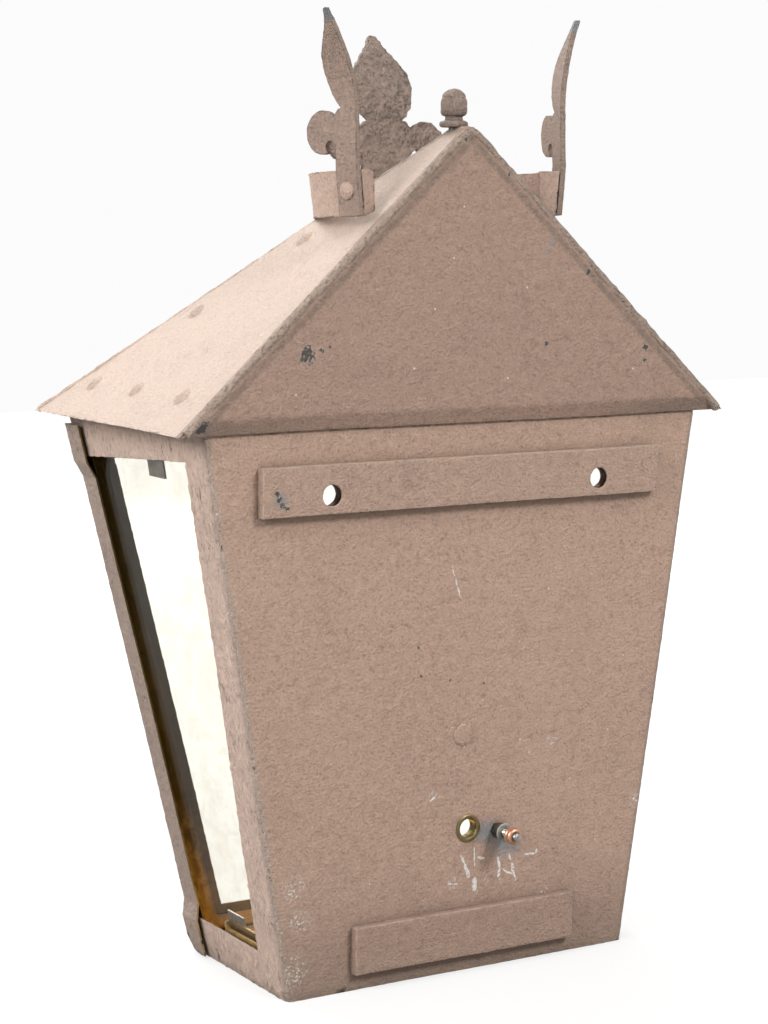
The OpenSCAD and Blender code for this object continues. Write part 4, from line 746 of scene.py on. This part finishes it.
def break_edges(bm, width, spare=None):
    """Bevels the sharp edges by a width in mm, apart from those that spare() keeps."""
    bm.normal_update()
    sharp = [e for e in bm.edges if len(e.link_faces) == 2
             and e.calc_face_angle(0) > math.radians(28)
             and not (spare and spare((e.verts[0].co + e.verts[1].co) / 2))]
    bmesh.ops.bevel(bm, geom=sharp, offset=width * MM, segments=2, profile=0.6,
                    affect="EDGES", clamp_overlap=True)
    bmesh.ops.triangulate(bm, faces=bm.faces)


def slice_across(bm, normal, pitch):
    """Cuts the mesh on planes a pitch in mm apart."""
    reach = [v.co.dot(normal) for v in bm.verts]
    low, high = min(reach), max(reach)
    count = int((high - low) / (pitch * MM))
    for i in range(1, count + 1):
        bisect_at(bm, normal, low + i * (high - low) / (count + 1))


def bisect_at(bm, normal, distance):
    geom = bm.verts[:] + bm.edges[:] + bm.faces[:]
    bmesh.ops.bisect_plane(bm, geom=geom, dist=0.004 * MM, plane_co=normal * distance,
                           plane_no=normal)


print("sheets can be copied and sliced")

# %% [markdown]
# Rounding a fold is a small piece of geometry: inside the fold lies the centre of the round, and
# any point of the sheet further from it than the radius is pulled back to the radius. A few
# extra slices beside the fold give it points to bend with.

# %% Round a fold and roughen the sheet
FOLD_STEPS = (0.12, 0.28, 0.46, 0.66, 0.88, 1.05)


def round_fold(bm, corner, face_a, face_b, radius):
    """Rounds the outer corner where two faces meet, given by a point and both outward normals."""
    for normal in (face_a, face_b):
        for step in FOLD_STEPS:
            bisect_at(bm, normal, corner.dot(normal) - step * radius * MM)
    centre = corner - (face_a + face_b) * radius * MM
    for v in bm.verts:
        out = v.co - centre
        a, b = out.dot(face_a), out.dot(face_b)
        if a > 0 and b > 0:
            across = face_a * a + face_b * b
            if across.length > radius * MM:
                v.co += across * (radius * MM / across.length - 1)


def shared_bow(point):
    """The wide movement that all sheets share, in metres."""
    return noise.noise_vector(point * 13 + Vector((3.1, 7.7, 1.3))) * 0.42 * MM


def roughen(bm, rough, grain, seed=0.0, edge_gain=2.5):
    """Moves every point: rough is in mm, grain in lumps per metre."""
    bm.normal_update()
    moved = []
    for v in bm.verts:
        facing = Vector()
        for face in v.link_faces:
            facing += face.normal
        flat = facing.length / max(1, len(v.link_faces))
        ragged = 1 + edge_gain * min(1.0, (1 - flat) * 4)
        lump = noise.fractal(v.co * grain + Vector((seed, seed * 1.7, -seed)), 0.8, 2.1, 3)
        moved.append(v.co + shared_bow(v.co) + v.normal * lump * rough * ragged * MM)
    for v, place in zip(bm.verts, moved):
        v.co = place


def finish_piece(name, bm, body, slot, material, *stands_for):
    """Turns the worked mesh into a named piece on its body."""
    bmesh.ops.dissolve_degenerate(bm, dist=0.003 * MM, edges=bm.edges)
    mesh = bpy.data.meshes.new(name)
    bm.to_mesh(mesh)
    bm.free()
    mesh.shade_smooth()
    mesh.set_sharp_from_angle(angle=SMOOTH_ANGLE)
    piece = bpy.data.objects.new(name, mesh)
    bpy.context.scene.collection.objects.link(piece)
    mesh.materials.append(material)
    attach(piece, body)
    if stands_for:
        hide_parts(*stands_for)
    return piece


def line_inside(piece, inward, material, limit=0.6):
    """Gives the faces that look inward another finish: the sheet's unpainted side."""
    piece.data.materials.append(material)
    for face in piece.data.polygons:
        if face.normal.dot(inward) > limit:
            face.material_index = 1


AXES = (Vector((1, 0, 0)), Vector((0, 1, 0)), Vector((0, 0, 1)))


def worked(node, material, pitch=3.0, edge=0.35, rough=0.10, grain=240, seed=0.0, folds=(),
           body=BODY, slot="body_paint", spare=None, edge_gain=2.5, along=AXES):
    """A packed sheet, worked by hand."""
    bm = copied(node)
    break_edges(bm, edge, spare)
    for axis in along:
        slice_across(bm, axis, pitch)
    for corner, face_a, face_b, radius in folds:
        round_fold(bm, corner, face_a, face_b, radius)
    roughen(bm, rough, grain, seed, edge_gain)
    return finish_piece("worked_" + node, bm, body, slot, material, node)


print("sheets can be worked now")

# %% [markdown]
# ## Beads of solder
# A bead is a tube swept along a line of points. Its rings are set square to the line, their size
# and place are varied by noise, and the ends are closed, so that it stays a proper solid.

# %% Learn to sweep a bead
def swept(points, radius, sides=8, wander=0.0, swell=0.15, seed=0.0, flat=1.0, lift=UP):
    """A closed tube through points in metres; radius in mm, or one radius for each point."""
    bm = bmesh.new()
    rings = []
    for i, point in enumerate(points):
        ahead = points[min(i + 1, len(points) - 1)] - points[max(i - 1, 0)]
        ahead.normalize()
        side = ahead.cross(lift).normalized()
        top = side.cross(ahead)
        own = radius[i] if isinstance(radius, (list, tuple)) else radius
        place = point + noise.noise_vector(point * 160 + Vector((seed, 0, 0))) * wander * MM
        ring = []
        for k in range(sides):
            turn = 2 * math.pi * k / sides
            size = own * (1 + swell * noise.noise(point * 300 + Vector((k * 5.0 + seed, 0, 0))))
            ring.append(bm.verts.new(place + (side * math.cos(turn) + top * math.sin(turn) * flat) * size * MM))
        rings.append(ring)
    for a, b in zip(rings, rings[1:]):
        for k in range(sides):
            bm.faces.new((a[k], a[(k + 1) % sides], b[(k + 1) % sides], b[k]))
    bm.faces.new(list(reversed(rings[0])))
    bm.faces.new(rings[-1])
    bmesh.ops.recalc_face_normals(bm, faces=bm.faces)
    return bm


def steps(start, end, pitch):
    """Points from start to end, a pitch in mm apart."""
    count = max(2, int((end - start).length / (pitch * MM)))
    return [start.lerp(end, i / count) for i in range(count + 1)]


def joined(name, parts, body, slot, material, *stands_for):
    """Several closed meshes as one piece."""
    whole = bmesh.new()
    for part in parts:
        mesh = bpy.data.meshes.new("part")
        part.to_mesh(mesh)
        part.free()
        whole.from_mesh(mesh)
        bpy.data.meshes.remove(mesh)
    return finish_piece(name, whole, body, slot, material, *stands_for)


print("beads can be swept now")

# %% [markdown]
# ## The body's sheets
# The back plate and the two side frames meet in soft rounded corners: the joint was filled with
# solder and buried in paint. So both sheets of a corner get the same round, and the seam
# itself is spared from edge breaking. The inner faces keep their brass.

# %% Work the body's sheets
CORNER_ROUND = 4.0
SHEET = 1.2


def at_side_seam(point):
    """True beside the seam between the back plate and a side frame."""
    z = point.z / MM + SCREW_Z
    return point.y / MM + BAR_DEPTH > -4.5 and abs(abs(point.x) / MM - half_at(z)) < 4.5


right_corner = (spot(HALF_FOOT, 0, 0), RIGHT_SIDE, BACK, CORNER_ROUND)
left_corner = (spot(-HALF_FOOT, 0, 0), LEFT_SIDE, BACK, CORNER_ROUND)
back_plate = worked("back_plate", body_paint, 2.6, rough=0.12, seed=1, spare=at_side_seam,
                    folds=(right_corner, left_corner))
line_inside(back_plate, -BACK, inner_brass)
right_frame = worked("side_frame_right", rail_paint, 2.0, rough=0.24, grain=330, seed=2,
                     spare=at_side_seam, folds=(right_corner,), edge_gain=3.2)
line_inside(right_frame, -RIGHT_SIDE, inner_brass)
left_frame = worked("side_frame_left", rail_paint, 2.0, rough=0.24, grain=330, seed=3,
                    spare=at_side_seam, folds=(left_corner,), edge_gain=3.2)
line_inside(left_frame, -LEFT_SIDE, inner_brass)
corner_beads = []
for side in (-1, 1):
    in_corner = Vector((-side * 2.1, -2.1, 0)) * MM
    foot = spot(side * HALF_FOOT, 0, 0) + in_corner
    head = spot(side * half_at(EAVE_Z - 1.4), 0, EAVE_Z - 1.4) + in_corner
    foot += (head - foot).normalized() * 0.3 * MM
    bead = swept(steps(foot, head, 3), 1.5, 10, wander=0.1, swell=0.12, seed=side * 3, lift=BACK)
    for v in bead.verts:
        v.co += shared_bow(v.co)
    corner_beads.append(bead)
joined("soldered_corners", corner_beads, BODY, "body_paint", corner_paint)
for node, seed in (("front_sill", 4), ("front_header", 5)):
    sheet = worked(node, body_paint, 3.2, rough=0.08, seed=seed)
    line_inside(sheet, -FRONT, inner_brass)
for node, paint, seed in (("upper_wall_bar", bar_paint, 6), ("lower_wall_bar", low_bar_paint, 7)):
    worked(node, paint, 2.0, edge=0.6, rough=0.15, grain=230, seed=seed, edge_gain=1.6)

# %% [markdown]
# ## The roof
# The gable sheet laps over the slopes in a rolled lip, so its two sloping edges are round and
# a little lumpy. The three slopes are plain sheets. Their joints, the hips and the ridge, are
# filled with solder, which is built as a low bead that wanders slightly.

# %% Work the roof's sheets
GABLE_ROUND = 2.3
apex_back = spot(0, EAVE_BACK, APEX_Z)
gable = worked("roof_gable", gable_paint, 3.0, rough=0.09, grain=260, seed=8, edge_gain=2.0,
               spare=lambda p: p.y / MM + BAR_DEPTH > 3.0 and p.z / MM + SCREW_Z > EAVE_Z + 3,
               folds=((apex_back, RIGHT_SLOPE, BACK, GABLE_ROUND), (apex_back, LEFT_SLOPE, BACK, GABLE_ROUND)))
line_inside(gable, -BACK, inner_brass)
for node, slope, seed in (("roof_slope_right", RIGHT_SLOPE, 9), ("roof_slope_left", LEFT_SLOPE, 10),
                          ("roof_slope_front", FRONT_SLOPE, 11)):
    sheet = worked(node, roof_paint, 3.2, rough=0.09, grain=220, seed=seed)
    line_inside(sheet, -slope, inner_brass)
print("roof sheets worked")


# %% [markdown]
# The gable's rolled lip is swept like a bead of solder: up one slope, round the top and down the
# other. The beads on the two hips and the ridge are thinner and wander a little.

# %% Draw the lip and the beads
LIP_R, LIP_IN = 2.3, 1.6
LIP_BEND, LIP_CURVE = 5.0, 0.092
LIP_END = 148.6
ROOF_RUN = (APEX_Z - EAVE_Z) / EAVE_HALF


def lip_point(x):
    """The middle of the gable's rolled lip: along one slope, round the top and down the other."""
    bend = max(abs(x), LIP_BEND)
    z = APEX_Z - ROOF_RUN * bend - LIP_IN / math.cos(SLOPE_ANGLE)
    if abs(x) < LIP_BEND:
        z += LIP_CURVE * (LIP_BEND ** 2 - x ** 2)
    return spot(x, EAVE_BACK - 1.9, z)


lip_line = [lip_point(-LIP_END + 2 * LIP_END * i / 150) for i in range(151)]
lip_line[75:76] = [lip_point(x) for x in (-1.2, 0.0, 1.2)]
joined("gable_rolled_lip", [swept(lip_line, LIP_R, 10, wander=0.35, swell=0.22, seed=4, lift=BACK)], BODY,
       "body_paint", lip_paint)

TIP_CUT = 1.7
BEAD_IN = 1.3
hip_top = spot(0, HIP_Y, APEX_Z - TIP_CUT - BEAD_IN)
beads = []
for side in (-1, 1):
    hip_foot = spot(side * (EAVE_HALF - 2.5), EAVE_FRONT + 2.5, EAVE_Z + 0.2)
    beads.append(swept(steps(hip_top, hip_foot, 3), 1.5, wander=0.5, seed=side))
ridge_end = spot(0, EAVE_BACK - 3, APEX_Z - TIP_CUT - BEAD_IN)
beads.append(swept(steps(hip_top, ridge_end, 2), 1.6, wander=0.3, seed=9))
joined("hip_and_ridge_beads", beads, BODY, "body_paint", roof_paint)
print("lip rolled, beads drawn on the hips and the ridge")

# %% [markdown]
# ## Studs under the roof's paint
# The studs hold the eave ring and show only as soft low mounds, because the paint runs over
# them. Each mound is a disc of rings whose height falls off like a bell, with its brim sunk
# in the slope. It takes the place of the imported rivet, which is a plain dome.

# %% Raise the painted mounds
def lathe(profile, sides=32, squash=None):
    """Turns a profile of (radius, height) in mm round the Z axis into a closed mesh."""
    bm = bmesh.new()
    rings = []
    for radius, height in profile:
        if radius <= 0:
            rings.append([bm.verts.new((0, 0, height * MM))])
            continue
        ring = []
        for k in range(sides):
            turn = 2 * math.pi * k / sides
            own = radius * (squash(turn, height) if squash else 1)
            ring.append(bm.verts.new((own * math.cos(turn) * MM, own * math.sin(turn) * MM, height * MM)))
        rings.append(ring)
    for a, b in zip(rings, rings[1:]):
        for k in range(sides):
            corners = [a[k % len(a)], a[(k + 1) % len(a)], b[(k + 1) % len(b)], b[k % len(b)]]
            corners = list(dict.fromkeys(corners))
            if len(corners) > 2:
                bm.faces.new(corners)
    for ring in (rings[0], rings[-1]):
        if len(ring) > 1:
            bm.faces.new(ring)
    bmesh.ops.recalc_face_normals(bm, faces=bm.faces)
    return bm


def stand_on(bm, place, out):
    """Moves a turned mesh so that its Z axis points out of a face at a place."""
    bm.transform(Matrix.Translation(place) @ out.to_track_quat("Z", "Y").to_matrix().to_4x4())
    return bm


STUD_R, STUD_H = 6.8, 2.4
LIP_T = 0.8


def mound(place, out, seed):
    """One stud under thick paint."""
    rings = 10
    profile = [(0, -0.9)] + [(STUD_R, -0.8)]
    for i in range(rings):
        share = i / rings
        profile.append((STUD_R * (1 - share), -0.45 + STUD_H * math.sin(share * math.pi / 2) ** 1.6))
    profile.append((0, -0.45 + STUD_H))
    bm = lathe(profile, 28)
    for v in bm.verts:
        v.co += Vector((0, 0, 0.16 * MM * noise.noise(v.co * 420 + Vector((seed * 9.0, 0, 0)))))
    return stand_on(bm, place, out)


SLOPE_LEN = 1 / math.sin(SLOPE_ANGLE)
side_places = [(-29.5, 23.6), (-78.0, 23.6), (-126.5, 23.6), (-91.4, 75.6), (-52.9, 127.6)]


def slope_place(side, y, up):
    """A stud's place on a side slope's surface, under the gable's lip."""
    z = EAVE_Z + up * math.sin(SLOPE_ANGLE)
    x = EAVE_HALF - up * math.cos(SLOPE_ANGLE)
    out = RIGHT_SLOPE if side > 0 else LEFT_SLOPE
    return spot(side * x, y, z) - out * LIP_T * MM, out


for side, name in ((1, "right"), (-1, "left")):
    mounds = [mound(*slope_place(side, y, up), i) for i, (y, up) in enumerate(side_places)]
    joined("roof_mounds_" + name, mounds, BODY, "body_paint", stud_paint, "roof_studs_" + name)
front_mounds = []
for up, count in ((23.6, 5), (75.6, 2), (127.6, 2)):
    z = EAVE_Z + up * math.sin(FRONT_ANGLE)
    half = EAVE_HALF * (APEX_Z - z) / (APEX_Z - EAVE_Z) - 17
    y = EAVE_FRONT + up * math.cos(FRONT_ANGLE)
    for i in range(count):
        x = -half + 2 * half * i / (count - 1)
        front_mounds.append(mound(spot(x, y, z) - FRONT_SLOPE * LIP_T * MM, FRONT_SLOPE, x))
joined("roof_mounds_front", front_mounds, BODY, "body_paint", stud_paint, "roof_studs_front")
print("mounds raised:", 10 + len(front_mounds))

# %% [markdown]
# ## The crown
# The band and its three fleurs are cut from thick plate and are the roughest pieces: their faces
# are lumpy with old paint and their cut edges are dark. They are worked as the sheets were, but
# finer, with deeper lumps and wider broken edges. The front fleur is the roughest of all, the
# half fleurs are smoother. The rivets get the same treatment.

# %% Work the crown
worked("crown_band", band_paint, 1.8, 0.4, rough=0.22, grain=420, seed=12, edge_gain=1.5)
worked("fleur_front", fleur_paint, 1.0, 0.6, rough=0.75, grain=380, seed=13, edge_gain=0.8)
worked("fleur_right", fleur_right_paint, 1.5, 0.7, rough=0.16, grain=300, seed=14, edge_gain=1.8)
worked("fleur_left", fleur_left_paint, 1.5, 0.7, rough=0.16, grain=300, seed=15, edge_gain=1.8)
worked("crown_rivets", band_paint, 1.0, 0.25, rough=0.12, grain=500, seed=16)
print("crown worked")

# %% [markdown]
# The rivet above the cable entry holds the lamp's bracket inside. Its head is a plain low disc,
# and its shank and tail are turned with it, so that it is one whole rivet from outside to inside.

# %% Turn the bracket's rivet
rivet_low, rivet_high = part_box("bracket_rivet")
rivet_in = -(rivet_low.y / MM + BAR_DEPTH)
rivet_out = rivet_high.y / MM + BAR_DEPTH
rivet_mid = (rivet_low + rivet_high) / 2
rivet_r = (rivet_high.x - rivet_low.x) / 2 / MM
rivet_profile = [(0, -rivet_in), (2.2, -rivet_in), (2.9, -rivet_in + 0.25), (3.1, -rivet_in + 0.8), (2.45, -rivet_in + 1.0),
                 (2.45, 0.02), (rivet_r - 0.25, 0.02), (rivet_r, 0.35), (rivet_r - 0.15, rivet_out - 0.45),
                 (rivet_r - 0.8, rivet_out - 0.12), (rivet_r - 2.4, rivet_out - 0.02), (0, rivet_out)]
bracket_rivet = stand_on(lathe(rivet_profile, 40), Vector((rivet_mid.x, -BAR_DEPTH * MM, rivet_mid.z)), BACK)
finish_piece("bracket_rivet_turned", bracket_rivet, BODY, "body_paint", body_paint, "bracket_rivet")
print("rivet stands", round(rivet_out, 2), "mm out of the plate")

# %% [markdown]
# ## The finial
# The acorn has a neck, a tall cup with six worn flats and a round nut on top. One turned
# profile serves, with a number at each height that says how six-sided it is there.

# %% Turn the acorn and its collar
FINIAL_Z = APEX_Z - TIP_CUT
COLLAR_H = 3.2


def six_sided(share):
    """Pulls a circle towards a hexagon by a share."""
    def squash(turn, height):
        flat = math.cos(math.pi / 6) / math.cos((turn % (math.pi / 3)) - math.pi / 6)
        return 1 + share(height) * (flat / math.cos(math.pi / 6) * 0.93 - 1)
    return squash


acorn_profile = [(0, 0.0), (4.2, 0.0), (4.4, 0.5), (4.1, 1.2), (4.3, 1.9), (5.6, 2.3), (6.2, 2.9), (6.6, 3.8),
                 (6.6, 6.2), (6.6, 8.6), (6.3, 9.6), (5.8, 10.1), (5.4, 10.4), (5.6, 10.9), (5.3, 12.0),
                 (4.4, 13.2), (3.0, 14.1), (1.6, 14.6), (0.8, 14.75), (0, 14.8)]
acorn = lathe(acorn_profile, 48, six_sided(lambda h: 1.0 if 2.2 < h < 9.9 else 0.0))
for v in acorn.verts:
    v.co += v.co.normalized() * 0.22 * MM * noise.noise(v.co * 420)
stand_on(acorn, spot(0, HIP_Y, FINIAL_Z + COLLAR_H), UP)
finish_piece("finial_acorn_turned", acorn, BODY, "body_paint", finial_paint, "finial_acorn")
collar_profile = [(0, 0), (5.6, 0), (6.4, 0.35), (6.7, 0.9), (6.7, 2.0), (6.3, 2.7), (5.2, 3.15), (0, 3.2)]
collar = lathe(collar_profile, 40)
for v in collar.verts:
    v.co += v.co.normalized() * 0.3 * MM * noise.noise(v.co * 300 + Vector((4, 0, 0)))
stand_on(collar, spot(0, HIP_Y, FINIAL_Z), UP)
finish_piece("finial_collar_turned", collar, BODY, "body_paint", finial_paint, "finial_collar")
print("finial turned,", len(acorn_profile), "steps")

# %% [markdown]
# ## The door
# The door frame is thinner than the body's sheets, and its flange wraps the lantern's right side.
# It is worked like them and rides on the door, so that it opens. The hinge leaves and rivets
# are painted over with the rest.

# %% Work the door
door_frame = worked("door_frame", door_paint, 2.0, 0.25, rough=0.16, grain=320, seed=18, body="door", edge_gain=2.6)
line_inside(door_frame, -FRONT, door_brass)
for node, body, seed in (("hinge_leaves_body", BODY, 19), ("hinge_leaves_door", "door", 20),
                         ("hinge_rivets_body", BODY, 21), ("hinge_rivets_door", "door", 22)):
    worked(node, body_paint, 2.5, 0.15, rough=0.03, grain=500, seed=seed, body=body)
print("door worked")

# %% [markdown]
# ## The earth stud
# A threaded stud sticks out beside the cable entry, with a dark steel nut on the plate, a bright
# washer on that nut and a copper coloured nut further out. The thread is a real helix: the tube's radius rises
# and falls once for each turn and each pitch.

# %% Cut the threads and the nuts
THREAD_PITCH = 0.7


def threaded(start, out, length, radius, depth=0.22, pitch=THREAD_PITCH, sides=24, bend=0.0):
    """A threaded rod with rounded ends, from a place along a direction; all in mm."""
    bm = bmesh.new()
    rows = int(length / pitch * 8)
    rings = []
    for j in range(rows + 1):
        along = length * j / rows
        end = min(1.0, 0.35 + min(along, length - along) / 0.8)
        ring = []
        for k in range(sides):
            share = (along / pitch - k / sides) % 1.0
            own = (radius - depth * abs(2 * share - 1)) * end ** 0.35
            turn = 2 * math.pi * k / sides
            drop = -bend * (along / length) ** 2
            ring.append(bm.verts.new((own * math.cos(turn) * MM, (own * math.sin(turn) + drop) * MM, along * MM)))
        rings.append(ring)
    for a, b in zip(rings, rings[1:]):
        for k in range(sides):
            bm.faces.new((a[k], a[(k + 1) % sides], b[(k + 1) % sides], b[k]))
    bm.faces.new(list(reversed(rings[0])))
    bm.faces.new(rings[-1])
    return stand_on(bm, start, out)


def six_nut(across, height, bore):
    """A nut with rounded-off corners; its bore is open."""
    bm = bmesh.new()
    sides = 48
    rows = [(bore, 0.25), (bore + 0.3, 0.0), (across * 0.47, 0.0), (None, 0.35), (None, height - 0.35),
            (across * 0.47, height), (bore + 0.3, height), (bore, height - 0.25)]
    rings = []
    for radius, z in rows:
        ring = []
        for k in range(sides):
            turn = 2 * math.pi * k / sides
            flat = across / 2 / math.cos((turn % (math.pi / 3)) - math.pi / 6)
            own = min(flat, across * 0.56) if radius is None else radius
            ring.append(bm.verts.new((own * math.cos(turn) * MM, own * math.sin(turn) * MM, z * MM)))
        rings.append(ring)
    for a, b in zip(rings, rings[1:] + rings[:1]):
        for k in range(sides):
            bm.faces.new((a[k], a[(k + 1) % sides], b[(k + 1) % sides], b[k]))
    bmesh.ops.recalc_face_normals(bm, faces=bm.faces)
    return bm


EARTH_X, EARTH_Z, EARTH_R = -20.0, 67.5, 2.0
STUD_TIP, LOCK_H, NUT_OUT = 19.0, 6.0, 12.0
finish_piece("earth_stud_threaded", threaded(spot(EARTH_X, -3.2, EARTH_Z), BACK, STUD_TIP + 3.2, EARTH_R),
             BODY, "zinc_steel", stud_steel, "earth_stud")
finish_piece("earth_nut_cut", stand_on(six_nut(7, LOCK_H, EARTH_R + 0.05), spot(EARTH_X, 0.05, EARTH_Z), BACK),
             BODY, "zinc_steel", lock_steel, "earth_lock_nut")
NUT_BORE = EARTH_R + 0.05
copper_profile = [(NUT_BORE, 0.2), (2.5, 0.0), (3.7, 0.0), (4.1, 0.45), (4.05, 1.3), (3.8, 1.7), (4.05, 2.1),
                  (4.1, 3.5), (3.9, 4.2), (3.3, 4.7), (2.6, 4.8), (NUT_BORE, 4.6)]


def ring_turned(profile, sides=40, squash=None):
    """Turns a closed profile round an open bore."""
    bm = bmesh.new()
    rings = []
    for radius, z in profile:
        ring = []
        for k in range(sides):
            turn = 2 * math.pi * k / sides
            own = radius * (squash(turn, z) if squash and radius > NUT_BORE + 0.4 else 1)
            ring.append(bm.verts.new((own * math.cos(turn) * MM, own * math.sin(turn) * MM, z * MM)))
        rings.append(ring)
    for a, b in zip(rings, rings[1:] + rings[:1]):
        for k in range(sides):
            bm.faces.new((a[k], a[(k + 1) % sides], b[(k + 1) % sides], b[k]))
    bmesh.ops.recalc_face_normals(bm, faces=bm.faces)
    return bm


finish_piece("copper_nut_turned", stand_on(ring_turned(copper_profile), spot(EARTH_X, NUT_OUT, EARTH_Z), BACK),
             BODY, "copper_red", nut_copper, "earth_terminal_nut")
washer_profile = [(NUT_BORE, 0.15), (2.3, 0.02), (4.3, 0.02), (4.5, 0.2), (4.5, 0.8), (4.3, 1.0), (2.3, 1.0), (NUT_BORE, 0.85)]
finish_piece("earth_washer_pressed", stand_on(ring_turned(washer_profile), spot(EARTH_X, LOCK_H + 0.1, EARTH_Z), BACK),
             BODY, "zinc_steel", stud_steel, "earth_washer")
print("earth stud threaded")

# %% [markdown]
# ## The cable ferrule
# A short brass tube lines the hole for the cable. Its rim was rolled over, so it is a soft ring.

# %% Roll the ferrule's rim
ferrule_profile = [(4.6, -5.2), (5.3, -5.2), (5.4, -0.1), (6.4, 0.02), (6.75, 0.25), (6.8, 0.5), (6.5, 0.76),
                   (5.9, 0.8), (5.2, 0.8), (4.8, 0.6), (4.6, 0.2)]
finish_piece("cable_ferrule_rolled", stand_on(ring_turned(ferrule_profile, 56), spot(-3, 0, 70.4), BACK),
             BODY, "bare_brass", ferrule_brass, "cable_ferrule")
print("ferrule rolled")

# %% [markdown]
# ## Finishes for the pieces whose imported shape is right
# The clips, jambs, ring, base, hinge pins, lamp parts and panes already have their real shape.
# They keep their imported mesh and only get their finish.

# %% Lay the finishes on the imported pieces
KEPT = {
    inner_brass: "door_jamb_right door_jamb_left eave_ring",
    floor_brass: "base_plate",
    channel_brass: "glass_packing_right glass_packing_left",
    knob_brass: "lamp_nipple lamp_nut lampholder_cap lampholder_shell catch_washer catch_spindle "
                "catch_knob catch_tongue",
    clip_steel: "glass_clips_right glass_clips_left door_clips lamp_bracket finial_nut",
    stud_steel: "finial_rod",
    hinge_iron: "hinge_pins",
    nut_copper: "lampholder_contact",
    lamp_ceramic: "lampholder_body",
    side_pane_glass: "side_glass_right side_glass_left",
    door_pane_glass: "door_glass",
}
for material, nodes in KEPT.items():
    for node in nodes.split():
        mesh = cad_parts[node].data
        mesh.materials.clear()
        mesh.materials.append(material)
print("packed pieces finished:", sum(len(n.split()) for n in KEPT.values()))

# %% [markdown]
# ## The paper it stands on
# The lantern stands on a large sheet of white paper. The paper gives off a little light of its
# own where the camera looks at it, more of it further away where the lamps don't reach. So it is
# white in the picture without more light falling on the lantern, and it still takes the soft
# shadow under the foot.

# %% Lay the paper
FOOT_Z = cad_box[0].z - 0.0002
PAPER_HALF = 3.0
bm = bmesh.new()
corners = [bm.verts.new((x * PAPER_HALF, y * PAPER_HALF, FOOT_Z)) for x, y in ((-1, -1), (1, -1), (1, 1), (-1, 1))]
bm.faces.new(corners)
paper_mesh = bpy.data.meshes.new("paper_floor")
bm.to_mesh(paper_mesh)
bm.free()
paper = bpy.data.objects.new("paper_floor", paper_mesh)
bpy.context.scene.collection.objects.link(paper)

PAPER_SHARE = 0.30
PAPER_GLOW_NEAR, PAPER_GLOW_FAR = 0.64, 0.84
sheet = Finish("white_paper")
fibre = sheet.cloud(220, 3, 0.6)
tint = sheet.blend(sheet.ramp(fibre, 0.3, 0.7), (PAPER_SHARE, PAPER_SHARE, PAPER_SHARE, 1),
                   (PAPER_SHARE * 1.02, PAPER_SHARE * 1.015, PAPER_SHARE, 1))
sheet.set(base_color=tint, roughness=0.95, specular_ior_level=0.0)
seen = in_view(sheet.nodes, sheet.links)
glow = sheet.nodes.new("ShaderNodeEmission")
close_by = sheet.near((0, 0, FOOT_Z), 2500, 0.08)
sheet.links.new(sheet.sum("MULTIPLY", seen, sheet.ramp(close_by, 0.0, 1.0, PAPER_GLOW_FAR, PAPER_GLOW_NEAR)),
                glow.inputs["Strength"])
both = sheet.nodes.new("ShaderNodeAddShader")
sheet.links.new(sheet.coat.outputs[0], both.inputs[0])
sheet.links.new(glow.outputs[0], both.inputs[1])
sheet.links.new(both.outputs[0], sheet.out.inputs["Surface"])
paper_mesh.materials.append(sheet.material)
print("paper at", round(FOOT_Z, 4), "m")
